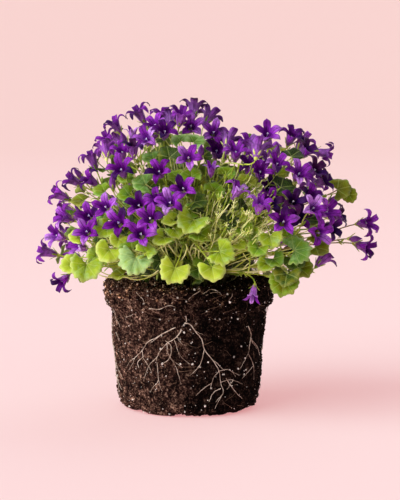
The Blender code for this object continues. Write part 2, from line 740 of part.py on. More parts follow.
def root_ball_object(holes):
    """Build the moulded soil with one plain hole for each stem."""
    points, faces = [], []
    heights = [z for z, _ in BALL_PROFILE]
    segments = BALL_SEGMENTS
    for z in heights:
        for k in range(segments):
            angle = math.tau * k / segments
            r = ball_radius(angle, z)
            points.append(Vector((r * math.cos(angle), r * math.sin(angle), z)))
    for k in range(segments):
        angle = math.tau * k / segments
        x, y = 47.0 * math.cos(angle), 47.0 * math.sin(angle)
        points.append(Vector((x, y, soil_height(x, y))))
    rings = len(heights) + 1
    for ring in range(rings - 1):
        base = ring * segments
        for k in range(segments):
            n = (k + 1) % segments
            faces.append((base + k, base + n, base + segments + n, base + segments + k))
    top = (rings - 1) * segments
    points.append(Vector((0.0, 0.0, soil_height(0.0, 0.0))))
    for k in range(segments):
        faces.append((top + k, top + (k + 1) % segments, len(points) - 1))
    faces.append(tuple(reversed(range(segments))))
    ball = mesh_object("root_ball", points, faces)
    for hole in holes:
        cut_hole(ball, hole)
    return ball


def cut_hole(ball, hole):
    """Cut one plain blind hole into the soil's top."""
    points, faces = [], []
    for z in (SOIL_TOP - HOLE_DEPTH, SOIL_TOP + 4.0):
        for k in range(HOLE_SIDES):
            angle = math.tau * k / HOLE_SIDES
            x = hole.x + HOLE_RADIUS * math.cos(angle)
            points.append(Vector((x, hole.y + HOLE_RADIUS * math.sin(angle), z)))
    for k in range(HOLE_SIDES):
        n = (k + 1) % HOLE_SIDES
        faces.append((k, n, HOLE_SIDES + n, HOLE_SIDES + k))
    faces.append(tuple(reversed(range(HOLE_SIDES))))
    faces.append(tuple(range(HOLE_SIDES, 2 * HOLE_SIDES)))
    cutter = mesh_object("hole_cutter", points, faces)
    cutter.hide_render = True
    cutter.display_type = "WIRE"
    modifier = ball.modifiers.new("hole", "BOOLEAN")
    modifier.operation = "DIFFERENCE"
    modifier.solver = "EXACT"
    modifier.object = cutter
    apply_modifiers(ball)
    bpy.data.objects.remove(cutter)


def on_ball(across, up, lift):
    """Return the point of the front view that lies on the root ball's side."""
    start, way = sight_line(across, up)
    for step in range(1600):
        point = start + way * (SIGHT_DISTANCE - 90.0 + 0.1 * step)
        angle = math.atan2(point.y, point.x)
        if math.hypot(point.x, point.y) <= ball_radius(angle, point.z) + lift:
            return point
    raise RuntimeError("a root misses the root ball")


def root_shapes(runs, lift=1.2):
    """Return the tubes of one root and its side roots, given as front-view runs."""
    shapes = []
    for index, run in enumerate(runs):
        path = [on_ball(across, up, lift) for across, up in run]
        thick = 0.75 if index == 0 else 0.6
        shapes.append(tube_shape(path, thick, 0.5))
    return shapes


def grown_root_shapes(rng, degrees, top):
    """Return the tubes of one root and two side roots that wander down the ball's side."""
    def lay(points):
        path = []
        for angle, z in points:
            r = ball_radius(angle, z) + 1.2
            path.append(Vector((r * math.cos(angle), r * math.sin(angle), z)))
        return path

    run = [(math.radians(degrees), top + 8.0)]
    while run[-1][1] > 12.0:
        angle, z = run[-1]
        run.append((angle + rng.uniform(-0.09, 0.10), z - rng.uniform(6.0, 9.0)))
    shapes = [tube_shape(lay(run), 0.75, 0.5)]
    for start, turn in ((2, 0.10), (3, -0.10)):
        side = [run[start]]
        for _ in range(4):
            angle, z = side[-1]
            side.append((angle + turn, z - rng.uniform(4.0, 5.5)))
        side = [point for point in side if point[1] > 4.0]
        shapes.append(tube_shape(lay(side), 0.6, 0.5))
    return shapes


def mesh_object(name, points, faces):
    """Make a scene object from points in millimetres and faces."""
    mesh = bpy.data.meshes.new(name)
    mesh.from_pydata([tuple(p * MM) for p in points], [], [tuple(f) for f in faces])
    work = bmesh.new()
    work.from_mesh(mesh)
    bmesh.ops.recalc_face_normals(work, faces=work.faces)
    work.to_mesh(mesh)
    work.free()
    thing = bpy.data.objects.new(name, mesh)
    bpy.context.scene.collection.objects.link(thing)
    return thing


def apply_modifiers(thing):
    """Replace an object's mesh by its evaluated one."""
    graph = bpy.context.evaluated_depsgraph_get()
    mesh = bpy.data.meshes.new_from_object(thing.evaluated_get(graph))
    old = thing.data
    thing.modifiers.clear()
    thing.data = mesh
    bpy.data.meshes.remove(old)


def joined(name, shapes):
    """Fuse closed shapes into one object, with a hair's shift of the parts if a try fails."""
    for attempt in range(4):
        thing = union_of(name, shapes, attempt * 0.03)
        if tidy_mesh(thing):
            return thing
        bpy.data.objects.remove(thing)
    raise RuntimeError("no closed union for " + name)


def union_of(name, shapes, shift):
    """Return the union of closed shapes as one object."""
    base = mesh_object(name, shapes[0].points, shapes[0].faces)
    if len(shapes) == 1:
        return base
    group = bpy.data.collections.new(name + "_parts")
    bpy.context.scene.collection.children.link(group)
    parts = []
    for number, shape in enumerate(shapes[1:], 1):
        away = Vector((shift * number, -shift, shift))
        part = mesh_object(name + "_part", [p + away for p in shape.points], shape.faces)
        bpy.context.scene.collection.objects.unlink(part)
        group.objects.link(part)
        parts.append(part)
    modifier = base.modifiers.new("union", "BOOLEAN")
    modifier.operation = "UNION"
    modifier.operand_type = "COLLECTION"
    modifier.solver = "EXACT"
    modifier.collection = group
    apply_modifiers(base)
    for part in parts:
        bpy.data.objects.remove(part)
    bpy.data.collections.remove(group)
    return base


def tidy_mesh(thing):
    """Merge points that a union leaves on top of each other; tell whether it is one closed body."""
    for distance in (0.00003, 0.00001, 0.000002):
        work = bmesh.new()
        work.from_mesh(thing.data)
        bmesh.ops.remove_doubles(work, verts=work.verts, dist=distance)
        bmesh.ops.dissolve_degenerate(work, edges=work.edges, dist=distance / 4)
        bmesh.ops.triangulate(work, faces=work.faces)
        whole = all(len(edge.link_faces) == 2 for edge in work.edges) and one_piece(work)
        if whole:
            work.to_mesh(thing.data)
        work.free()
        if whole:
            return True
    return False


def one_piece(work):
    """Tell whether all faces of a mesh hang together along their edges."""
    work.faces.ensure_lookup_table()
    seen = {work.faces[0]}
    ahead = [work.faces[0]]
    while ahead:
        for edge in ahead.pop().edges:
            for face in edge.link_faces:
                if face not in seen:
                    seen.add(face)
                    ahead.append(face)
    return len(seen) == len(work.faces)


def finish(name, colour, roughness, subsurface=0.0):
    """Make a plain material."""
    material = bpy.data.materials.new(name)
    material.use_nodes = True
    shader = material.node_tree.nodes["Principled BSDF"]
    shader.inputs["Base Color"].default_value = (*colour, 1.0)
    shader.inputs["Roughness"].default_value = roughness
    shader.inputs["Subsurface Weight"].default_value = subsurface
    material.diffuse_color = (*colour, 1.0)
    return material


def build_roots(material):
    """Build the roots that lie on the root ball's side."""
    rng = random.Random(SEED)
    systems = [root_shapes(runs) for runs in FRONT_ROOTS]
    systems += [grown_root_shapes(rng, degrees, top) for degrees, top in GROWN_ROOTS]
    for index, shapes in enumerate(systems, 1):
        thing = joined(f"root_{index}", shapes)
        thing.data.materials.append(material)


def build_plant(rng, leaf_material, bloom_material):
    """Build the flower sprays and leafy shoots; return the places where stems stand."""
    field, heads, leaves, holes = Field(), [], [], []
    field.shapes["root_ball"] = guard_shape()
    place_front_blooms(field, heads)
    place_back_blooms(field, heads, rng)
    place_leaves(field, leaves, rng, 22)
    sprays = groups_of(heads, SPRAY_SIZE, SPRAY_COUNT)
    shoots = groups_of(leaves, 6, SHOOT_COUNT)
    sprays = grow_all(field, sprays, holes, rng, SPRAY_COUNT)
    shoots = grow_all(field, shoots, holes, rng, SHOOT_COUNT)
    for prefix, grown, material in (
        ("flower_spray", sprays, bloom_material), ("leafy_shoot", shoots, leaf_material),
    ):
        for index, growth in enumerate(grown, 1):
            thing = joined(f"{prefix}_{index:02d}", growth["shapes"])
            thing.data.materials.append(material)
    return holes


def main():
    """Clear the scene and build every piece."""
    for thing in list(bpy.data.objects):
        bpy.data.objects.remove(thing)
    rng = random.Random(SEED)
    soil = finish("soil", (0.022, 0.012, 0.008), 0.95)
    root = finish("pale_root", (0.55, 0.36, 0.25), 0.7)
    leaf = finish("leaf_green", (0.16, 0.30, 0.05), 0.5, 0.1)
    bloom = finish("violet_bloom", (0.10, 0.012, 0.35), 0.5, 0.1)
    holes = build_plant(rng, leaf, bloom)
    root_ball_object(holes).data.materials.append(soil)
    build_roots(root)


main()
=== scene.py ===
"""Bellflower on its bare root ball, dressed with its petals, leaves, stalks, soil and roots.

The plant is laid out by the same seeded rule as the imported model, so that each fine bloom, bud
and leaf stands where its solid stands.  Sizes are in millimetres here and become metres when a
mesh is placed.
"""

from __future__ import annotations

import json
import logging
import math
import random
from collections.abc import Callable
from dataclasses import dataclass, field
from enum import Enum, IntEnum

import bmesh
import bpy
from mathutils import Matrix, Vector
from mathutils.bvhtree import BVHTree

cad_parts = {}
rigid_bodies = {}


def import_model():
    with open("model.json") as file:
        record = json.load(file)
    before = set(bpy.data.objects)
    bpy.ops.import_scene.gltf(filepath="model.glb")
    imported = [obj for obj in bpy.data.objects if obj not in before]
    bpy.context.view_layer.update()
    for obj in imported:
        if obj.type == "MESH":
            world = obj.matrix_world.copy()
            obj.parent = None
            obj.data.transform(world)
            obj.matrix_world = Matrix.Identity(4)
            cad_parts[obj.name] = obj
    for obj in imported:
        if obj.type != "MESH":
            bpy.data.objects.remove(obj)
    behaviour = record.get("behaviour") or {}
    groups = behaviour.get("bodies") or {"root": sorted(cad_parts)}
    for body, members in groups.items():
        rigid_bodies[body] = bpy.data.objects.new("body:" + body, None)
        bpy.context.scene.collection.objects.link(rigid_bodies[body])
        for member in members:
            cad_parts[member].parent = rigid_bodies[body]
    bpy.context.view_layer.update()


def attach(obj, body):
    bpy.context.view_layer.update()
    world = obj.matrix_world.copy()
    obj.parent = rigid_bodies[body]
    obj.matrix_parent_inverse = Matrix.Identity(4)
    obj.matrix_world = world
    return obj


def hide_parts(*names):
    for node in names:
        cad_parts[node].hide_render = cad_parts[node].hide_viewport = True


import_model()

LOG = logging.getLogger("bellflower")
MM = 0.001
SEED = 10
UP = Vector((0.0, 0.0, 1.0))
BACKWARD = Vector((0.0, 1.0, 0.0))

# The place the plant is seen from in the photo
SIGHT_TILT = math.radians(7.0)
SIGHT_DISTANCE = 1500.0
AIM = Vector((7.9, 0.0, 108.05))
RIGHT = Vector((1.0, 0.0, 0.0))
INWARD = Vector((0.0, math.cos(SIGHT_TILT), -math.sin(SIGHT_TILT)))
UPWARD = Vector((0.0, math.sin(SIGHT_TILT), math.cos(SIGHT_TILT)))

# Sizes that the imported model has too
SOIL_TOP = 88.0
CROWN = Vector((0.0, 0.0, SOIL_TOP))
BALL_PROFILE = (
    (0.0, 42.0), (1.8, 46.2), (6.5, 48.2), (38.0, 50.7), (69.5, 53.2), (72.5, 57.0),
    (85.5, 57.6), (88.3, 54.5),
)
HOLE_DEPTH = 6.5
BLOOM_LENGTH = 15.0
STEM_RADIUS = 0.95
STALK_RADIUS = 0.75
BLADE_THICKNESS = 0.75
BLOOM_MOUTH = 13.0
BUD_LENGTH = 12.5
BUD_REACH = 13.0
PLANT_GAP = 0.45
STEM_ZONE = 37.0
FRONT_REACH = 96.0

# A leaf blade: degrees to either side of its tip, the radius from which on it has seven lobes,
# and how much of its radius lies between its joint and its middle
BLADE_SPREAD = 126.0
BIG_BLADE = 10.2
JOINT_SHARE = 0.45

# How far the plant reaches round its crown, seen from the front: degrees from the right, reach
REACH = (
    (-40, 92), (-20, 97), (0, 106), (15, 114), (30, 119), (42, 128), (55, 126), (70, 112),
    (80, 110), (90, 121), (105, 120), (120, 119), (132, 111), (145, 108), (160, 104),
    (175, 104), (190, 96), (220, 92),
)


class Look(Enum):
    """The looks of a bloom, each with the corolla's form and its tint."""

    STAR = ("star", 0.50)
    BELL = ("bell", 0.45)
    CURLED = ("curled", 0.42)
    LIGHT = ("bell", 0.66)
    LILAC = ("bell", 0.78)
    DARK = ("bell", 0.22)
    INK = ("bell", 0.08)
    PLUM = ("bell", 0.0)
    SLIM = ("slim", 0.80)
    WIDE = ("wide", 0.45)
    DUSKY = ("curled", 0.46)


S, B, C, L, P, D, K, R, N, W, Q = (
    Look.STAR, Look.BELL, Look.CURLED, Look.LIGHT, Look.LILAC, Look.DARK, Look.INK, Look.PLUM,
    Look.SLIM, Look.WIDE, Look.DUSKY,
)

# Blooms as seen from the front: mouth across and up, foot across and up, depth behind the
# outer surface, 1 when it turns to the viewer or -1 when it turns away, and its look
BLOOMS = (
    (-102, 107, -87, 103, 0, 1, C), (-89, 84, -82, 91, 0, 1, Q), (-93, 147, -80, 141, 0, 1, C),
    (-83, 157, -72, 151, 0, 1, C), (-88, 131, -78, 127, 0, 1, L), (-93, 118, -84, 115, 0, 1, L),
    (-71, 121, -68, 117, 0, 1, S), (-78, 111, -69, 107, 0, 1, P), (-70, 132, -66, 128, 4, 1, S),
    (-58, 138, -55, 134, 0, 1, S), (-68, 174, -63, 161, 0, 1, C), (-58, 180, -56, 168, 4, -1, C),
    (-59, 187, -51, 177, 10, 1, C), (-52, 196, -46, 186, 0, 1, C), (-70, 157, -61, 151, 2, 1, C),
    (-39, 191, -38, 179, 6, 1, N), (-46, 178, -45, 168, 0, 1, C), (-38, 181, -38, 170, 2, 1, D),
    (-35, 203, -29, 193, 0, 1, C), (-24, 196, -20, 187, 2, 1, B), (-18, 204, -17, 192, 4, 1, W),
    (-11, 200, -13, 189, 10, -1, D), (-4, 204, -7, 191, 0, 1, L), (-30, 185, -26, 180, 0, 1, P),
    (-16, 191, -17, 183, 0, 1, B), (4, 207, 3, 195, 0, -1, D), (2, 194, 1, 189, 0, 1, S),
    (15, 201, 10, 192, 6, -1, D), (18, 190, 16, 185, 0, 1, S), (0, 172, 0, 168, 0, 1, S),
    (-21, 163, -18, 157, 0, 1, B), (-4, 151, -3, 146, 0, 1, S), (-13, 141, -12, 136, 2, 1, L),
    (-23, 143, -20, 138, 6, 1, L), (-35, 139, -32, 135, 2, 1, B), (-27, 130, -25, 126, 0, 1, S),
    (-33, 119, -32, 115, 0, 1, S), (-49, 127, -46, 123, 0, 1, S), (28, 186, 25, 176, 4, -1, D),
    (33, 179, 32, 167, 0, 1, P), (43, 184, 39, 174, 0, 1, L), (48, 179, 46, 169, 8, -1, D),
    (55, 189, 53, 182, 0, 1, S), (72, 188, 68, 178, 0, 1, C), (79, 184, 74, 174, 8, -1, C),
    (83, 178, 75, 170, 4, 1, D), (98, 173, 84, 176, 0, 1, C), (50, 163, 48, 156, 0, 1, B),
    (62, 169, 59, 161, 0, 1, B), (77, 161, 73, 155, 0, 1, L), (89, 164, 81, 158, 2, 1, R),
    (95, 156, 85, 152, 4, 1, R), (85, 146, 80, 141, 0, 1, D), (73, 142, 70, 137, 0, 1, K),
    (87, 137, 82, 133, -8, 1, P), (98, 135, 89, 131, 0, 1, L), (107, 132, 95, 129, 6, 1, R),
    (100, 123, 91, 123, 4, 1, K), (91, 119, 85, 119, 0, 1, P), (66, 128, 64, 124, 0, 1, S),
    (57, 141, 54, 136, 6, 1, D), (50, 141, 47, 131, 0, 1, P), (36, 152, 29, 141, 0, 1, P),
    (16, 166, 15, 156, 0, 1, N), (44, 74, 46, 84, 0, 1, N), (124, 126, 115, 125, 0, 1, C),
    (123, 109, 113, 112, 0, 1, C), (77, 131, 73, 128, 2, 1, D), (57, 152, 53, 146, 8, 1, D),
    (43, 167, 41, 158, 10, 1, B), (20, 178, 18, 170, 10, 1, B), (-48, 166, -44, 157, 10, 1, B),
)
BACK_LOOKS = (S, B, C, L, S, D, B, P, C, W)

# Closed buds as seen from the front: tip across and up, foot across and up
BUDS = (
    (-53, 161, -52, 149), (-47, 190, -43, 180), (121, 115, 110, 115), (62, 181, 60, 171),
    (-80, 165, -73, 156), (9, 181, 8, 171), (105, 145, 96, 140),
)

# The greens of the leaves, as places on the leaf finish's ramp; the two darkest are painted shade
DEEP_SHADE, SHADY, OLIVE, FRESH, SAGE, MILKY, LIME, BRIGHT = 0.0, 0.14, 0.3, 0.44, 0.57, 0.7, 0.85, 1.0

# Leaves as seen from the front: middle across and up, blade radius, way the tip points in
# degrees from the right, degrees the face is turned up, depth behind the outer surface, green
LEAVES = (
    (-77, 141, 10, 205, 70, 6, OLIVE), (-84, 96, 8, 200, 30, 0, BRIGHT),
    (-71, 92, 12, 262, 20, 0, LIME), (-79, 116, 7, 180, 35, 6, BRIGHT),
    (-60, 120, 9, 220, 35, 6, LIME), (-57, 104, 10, 240, 30, 0, BRIGHT),
    (-38, 97, 13, 255, 25, 0, MILKY), (-43, 109, 9, 150, 45, 6, FRESH),
    (-50, 90, 9, 200, 72, 6, OLIVE), (-27, 107, 8, 60, 50, 10, LIME),
    (-11, 90, 11, 250, 10, 0, BRIGHT), (17, 91, 10, 280, 20, 0, BRIGHT),
    (26, 104, 11, 330, 25, 0, LIME), (1, 124, 12, 250, 40, 4, LIME),
    (8, 141, 9, 20, 45, 8, SHADY), (-14, 127, 8, 200, 50, 8, BRIGHT),
    (11, 117, 9, 320, 40, 8, 0.38), (-20, 114, 8, 230, 40, 6, LIME),
    (2, 161, 8, 90, 40, 12, FRESH), (6, 184, 8, 60, 40, 12, 0.64),
    (-7, 185, 7, 110, 40, 12, 0.6), (-14, 175, 9, 100, 25, 8, SHADY),
    (-28, 171, 8, 150, 50, 10, SAGE), (-34, 153, 9, 170, 35, 10, SAGE),
    (-26, 152, 8, 60, 40, 14, SHADY), (-45, 158, 8, 160, 40, 12, FRESH),
    (-45, 145, 8, 190, 40, 12, FRESH), (57, 113, 9, 280, 15, 0, LIME),
    (47, 106, 8, 250, 40, 6, FRESH), (78, 108, 12, 15, 25, 0, SAGE),
    (61, 99, 8, 300, 45, 4, 0.5), (67, 87, 10, 262, 35, 0, 0.2),
    (80, 92, 9, 300, 45, 4, OLIVE), (92, 108, 9, 340, 40, 6, OLIVE),
    (107, 150, 10, 20, 30, 4, OLIVE), (74, 174, 9, 60, 50, 10, DEEP_SHADE),
    (63, 178, 8, 80, 70, 14, OLIVE), (40, 157, 8, 90, 45, 12, OLIVE),
    (30, 128, 8, 40, 40, 12, DEEP_SHADE), (68, 151, 9, 20, 50, 10, DEEP_SHADE),
    (64, 162, 8, 60, 40, 14, OLIVE), (60, 137, 8, 330, 40, 12, SHADY),
    (40, 120, 8, 300, 40, 10, FRESH), (20, 150, 8, 60, 40, 16, FRESH),
    (-62, 148, 8, 170, 45, 12, FRESH), (86, 128, 8, 350, 45, 12, SHADY),
)

# More leaves of the front view, in the same form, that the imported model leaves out
SMALL_LEAVES = (
    (65, 81, 11, 262, 20, 4, 0.36), (74, 98, 9, 290, 25, 8, SHADY),
    (52, 96, 7, 230, 30, 12, LIME), (-66, 101, 7, 230, 20, 10, LIME),
    (-49, 112, 7, 260, 30, 14, BRIGHT), (-8, 119, 7, 300, 20, 14, LIME),
    (-21, 97, 7, 240, 20, 16, 0.08), (37, 110, 6, 320, 40, 16, BRIGHT),
    (-1, 133, 7, 200, 30, 16, FRESH), (46, 116, 7, 300, 30, 14, LIME),
    (90, 116, 7, 330, 30, 10, OLIVE), (112, 143, 6, 300, 10, 4, OLIVE),
    (-10, 160, 7, 120, 40, 16, FRESH), (12, 174, 7, 60, 40, 18, SHADY),
    (28, 162, 7, 60, 30, 16, FRESH),
)

# Roots on the front of the ball as seen from the front: runs of points across and up
FRONT_ROOTS = (
    (
        ((-9, 54), (-17, 50), (-22, 47), (-28, 44), (-32, 38), (-37, 33), (-38, 30), (-41, 25)),
        ((-32, 38), (-31, 33), (-28, 29)),
    ),
    (
        ((-5, 53), (-6, 50), (-10, 46), (-15, 43), (-20, 37), (-22, 33), (-27, 28), (-31, 17)),
        ((-22, 33), (-21, 22), (-20, 15), (-18, 10)),
        ((-15, 43), (-14, 36), (-9, 28), (-7, 22), (-5, 15)),
        ((-10, 46), (-8, 40), (-6, 33)),
    ),
    (
        ((-3, 57), (1, 56), (5, 51), (9, 46), (11, 39), (17, 31), (21, 24), (22, 16), (24, 10),
         (21, 4), (18, -2)),
        ((11, 39), (9, 31), (7, 26)),
        ((21, 24), (27, 25), (31, 23), (35, 21)),
        ((22, 16), (28, 18), (33, 17), (37, 15)),
        ((21, 24), (17, 19), (15, 12)),
    ),
    (
        ((41, 55), (43, 49), (42, 42), (41, 36), (38, 30), (35, 25)),
        ((41, 36), (44, 30), (45, 25), (45, 18)),
    ),
)
GROWN_ROOTS = ((48.0, 44.0), (112.0, 58.0), (182.0, 50.0))

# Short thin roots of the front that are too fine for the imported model
FINE_ROOTS = (
    ((-27, 67), (-20, 66.5), (-14, 69), (-9, 68)), ((-43, 61), (-38, 63)),
    ((-2, 62), (-1.5, 58), (-4.6, 54.5)),
    ((10, 77), (15, 80), (20, 79), (23, 76)), ((12, 76), (17, 78), (22, 78)),
    ((-16, 45), (-12, 41), (-13, 33), (-18, 29)), ((26, 19), (29, 14), (33, 9), (37, 5)),
    ((22, 12), (17, 9), (14, 3)), ((43, 46), (47, 41), (49, 35)),
    ((-31, 34), (-35, 30), (-34, 26)), ((8, 79), (3, 76), (0, 73)),
    ((29, 80), (30, 76), (28, 73)), ((-36, 78), (-32, 74), (-30, 70)),
)

# Bare stems that the front view shows over the dark crown: how deep behind the plant's outer
# surface each one starts and ends, and its run of points across and up
FRONT_STEMS = (
    (4, 46, ((28, 139), (25, 135), (20, 130), (18, 126), (16, 122), (17, 116), (18, 108),
             (17, 104), (16, 99))),
    (8, 48, ((21, 131), (19, 125), (18, 119), (18, 111), (17, 101))),
    (2, 44, ((44, 133), (44, 130), (40, 126), (35, 121), (29, 115), (23, 110), (19, 106))),
    (8, 46, ((43, 129), (37, 122), (31, 117), (25, 112), (20, 106))),
    (10, 44, ((31, 132), (30, 126), (28, 121), (26, 115), (23, 109))),
    (12, 44, ((34, 124), (31, 120), (27, 115), (22, 108))),
    (24, 48, ((13, 110), (11, 112), (6, 112), (3, 111), (1, 106), (2, 102), (4, 97), (8, 93))),
    (26, 46, ((3, 109), (9, 106), (15, 103), (18, 98))),
    (26, 48, ((5, 109), (4.5, 104), (4, 98))), (28, 50, ((7, 107), (7, 102), (9, 98))),
    (28, 48, ((9, 110), (12, 107), (15, 103), (17, 97))),
    (22, 48, ((-1, 109), (-3, 104), (-5, 100))), (24, 48, ((-2, 111), (0, 106), (2, 102), (4, 96))),
    (20, 50, ((52, 109), (47, 107), (42, 107), (37, 106), (33, 104), (28, 98))),
    (30, 52, ((38, 105), (40, 102), (43, 99), (41, 97), (38, 94), (33, 94), (27, 92))),
    (34, 56, ((54, 92), (47, 91.5), (40, 91.5), (33, 91.5), (26, 92.5))),
    (30, 54, ((49, 99), (43, 96), (38, 93.5), (32, 93), (24, 93))),
    (34, 54, ((-68, 95), (-63, 90), (-56, 88), (-48, 88), (-42, 87.5), (-34, 88))),
    (32, 54, ((-67, 96), (-63, 93), (-56, 89.5), (-47, 89), (-38, 89))),
    (30, 50, ((-20, 94), (-24, 91), (-28, 89), (-34, 89))),
    (14, 44, ((-20, 112), (-18, 107), (-15, 102), (-12, 97))),
    (14, 46, ((-17, 112), (-15, 105), (-13, 99))),
    (16, 46, ((-14, 111), (-10, 105), (-6, 100))),
    (18, 46, ((-1, 109), (-3, 103), (-6, 99), (-8, 95))),
)

# Where the soil's lower edge is broken away: degrees from the right, half width, and how far
FOOT_GAPS = (
    (221, 12, 1.6), (262, 6, 1.3), (285, 5, 1.1), (312, 8, 0.9), (340, 9, 0.7), (28, 12, 1.6),
    (95, 9, 1.4), (150, 13, 1.8), (190, 7, 1.2),
)

# The types of the nodes that are used most.  A range node takes its value, from min, from max,
# to min and to max in that order; a mix node takes its factor as 0 and its colours as 6 and 7
MATH, VECTOR_MATH, RANGE, NOISE, MIX, SPLIT, BUMP, MAPPING, MARK, RANDOM, COMPARE = (
    "ShaderNodeMath", "ShaderNodeVectorMath", "ShaderNodeMapRange", "ShaderNodeTexNoise",
    "ShaderNodeMix", "ShaderNodeSeparateXYZ", "ShaderNodeBump", "ShaderNodeMapping",
    "ShaderNodeAttribute", "FunctionNodeRandomValue", "FunctionNodeCompare",
)
BLEND = {"data_type": "RGBA"}
TIMES = {"data_type": "RGBA", "blend_type": "MULTIPLY"}
Tree = bpy.types.NodeTree
Socket = bpy.types.NodeSocket

# How many spans between its lobes a leaf's UVs are wide
SPANS_IN_UV = 8.0


class Kind(IntEnum):
    """What a point of a scaffold carries."""

    LINE = 0
    BLOOM = 1
    BUD = 2
    SPENT = 3
    LEAF = 4
    BRACT = 5


def linear(colour: str) -> tuple[float, float, float, float]:
    """Turn an sRGB hex colour into linear red, green, blue and alpha.

    Args:
        colour: six hex digits after a hash sign.

    Returns:
        The linear colour.
    """
    values = []
    for start in (1, 3, 5):
        value = int(colour[start:start + 2], 16) / 255.0
        values.append(value / 12.92 if value <= 0.04045 else ((value + 0.055) / 1.055) ** 2.4)
    return values[0], values[1], values[2], 1.0


def fill(node: bpy.types.Node, inputs: dict | tuple) -> None:
    """Link or set a node's inputs.

    Args:
        node: the node.
        inputs: an output socket or a plain value for inputs, in order or by name or number.
    """
    for name, value in inputs.items() if isinstance(inputs, dict) else enumerate(inputs):
        if isinstance(value, Socket):
            node.id_data.links.new(value, node.inputs[name])
        else:
            node.inputs[name].default_value = value


def add_node(
    tree: Tree, kind: str, inputs: dict | tuple = (), output: str = "", **settings: object
) -> Socket:
    """Add a node with its settings and links.

    Args:
        tree: the tree that gets the node.
        kind: the node's type.
        inputs: an output socket or a plain value for inputs, in order or by name or number.
        output: the name of the output that is wanted, if it isn't the first one in use.
        settings: the node's own properties.

    Returns:
        The wanted output.
    """
    node = tree.nodes.new(kind)
    for name, value in settings.items():
        setattr(node, name, value)
    fill(node, inputs)
    return node.outputs[output] if output else next(out for out in node.outputs if out.enabled)


def sight_line(across: float, up: float) -> tuple[Vector, Vector]:
    """Return the start and direction of the line of sight through a point of the front view."""
    eye = AIM - INWARD * SIGHT_DISTANCE
    goal = AIM + RIGHT * (across - AIM.x) + UPWARD * (up - AIM.dot(UPWARD))
    return eye, (goal - eye).normalized()


def reach(direction: Vector) -> float:
    """Return the distance from the crown to the plant's outer surface along a direction."""
    angle = math.degrees(math.atan2(direction.z, direction.x))
    if angle < -70:
        angle += 360
    side = REACH[-1][1] if angle > REACH[-1][0] else REACH[0][1]
    for (a0, r0), (a1, r1) in zip(REACH, REACH[1:]):
        if a0 <= angle <= a1:
            side = r0 + (r1 - r0) * (angle - a0) / (a1 - a0)
    flat = (direction.x ** 2 + direction.z ** 2) / side ** 2
    return 1.0 / math.sqrt(flat + (direction.y / FRONT_REACH) ** 2)


def on_surface(across: float, up: float) -> Vector:
    """Return the point where a line of sight first meets the plant's outer surface."""
    start, way = sight_line(across, up)
    best, best_excess = start, 1e9
    for step in range(240):
        point = start + way * (SIGHT_DISTANCE - 240.0 + 2.0 * step)
        arm = point - CROWN
        excess = arm.length / reach(arm.normalized()) - 1.0
        if excess < best_excess:
            best, best_excess = point, excess
        if excess <= 0.0:
            break
    return best


def turned(across: float, up: float, length: float, facing: float) -> Vector:
    """Return the unit direction that shows as a short run across and up in the front view."""
    seen = RIGHT * across + UPWARD * up
    if seen.length > 0.97 * length:
        seen = seen.normalized() * 0.97 * length
    depth = math.sqrt(length ** 2 - seen.length ** 2)
    return (seen - INWARD * depth * facing).normalized()


def square_axes(axis: Vector) -> tuple[Vector, Vector]:
    """Return two unit directions square to an axis and to each other."""
    hint = UP
    if abs(axis.dot(hint)) > 0.98:
        hint = BACKWARD
    first = axis.cross(hint).normalized()
    return first, axis.cross(first).normalized()


def bezier(anchors: list[Vector], count: int) -> list[Vector]:
    """Return evenly spaced points along a curve with four anchors."""
    a, b, c, d = anchors
    points = []
    for index in range(count + 1):
        t = index / count
        s = 1.0 - t
        points.append(a * s ** 3 + b * 3 * s * s * t + c * 3 * s * t * t + d * t ** 3)
    return points


def through(points: list[Vector], steps: int) -> list[Vector]:
    """Return a smooth line through points, with some steps from each to the next."""
    ends = [points[0] * 2 - points[1], *points, points[-1] * 2 - points[-2]]
    line = []
    for a, b, c, d in zip(ends, ends[1:], ends[2:], ends[3:]):
        for step in range(steps):
            t = step / steps
            line.append(
                (b * 2 + (c - a) * t + (a * 2 - b * 5 + c * 4 - d) * t ** 2
                 + (b * 3 - a - c * 3 + d) * t ** 3) * 0.5
            )
    line.append(points[-1].copy())
    return line


def spread(rng: random.Random, size: float) -> Vector:
    """Return a random shift of at most a size along each axis."""
    return Vector([rng.uniform(-size, size) for _ in range(3)])


def leaf_axis(tip: Vector, face: Vector) -> Vector:
    """Return the way a leaf's stalk leads into its blade, between its tip and its face."""
    return (tip + face * 0.9).normalized()


class Solid:
    """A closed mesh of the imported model's form, to test whether two pieces keep clear."""

    def __init__(self, points: list[Vector], faces: list[tuple[int, ...]]) -> None:
        """Keep the points and faces and prepare what the tests need."""
        self.points = points
        self.faces = faces
        self.tree = BVHTree.FromPolygons(points, faces)
        self.low = Vector([min(p[i] for p in points) for i in range(3)])
        self.high = Vector([max(p[i] for p in points) for i in range(3)])
        self.probes = list(points)
        for face in faces:
            for first, second in zip(face, face[1:] + face[:1]):
                if first < second:
                    self.probes.append((points[first] + points[second]) / 2)
            if len(face) == 3:
                self.probes.append(sum((points[i] for i in face), Vector()) / 3)

    def near(self, other: Solid, gap: float) -> bool:
        """Tell whether another solid comes closer than a gap."""
        for i in range(3):
            if self.low[i] - gap > other.high[i] or other.low[i] - gap > self.high[i]:
                return False
        if self.tree.overlap(other.tree):
            return True
        for tree, probes in ((self.tree, other.probes), (other.tree, self.probes)):
            for probe in probes:
                if tree.find_nearest(probe, gap)[0] is not None:
                    return True
        return False

    def crosses_itself(self) -> bool:
        """Tell whether faces that share no corner cut each other."""
        return any(
            a < b and not set(self.faces[a]) & set(self.faces[b])
            for a, b in self.tree.overlap(self.tree)
        )


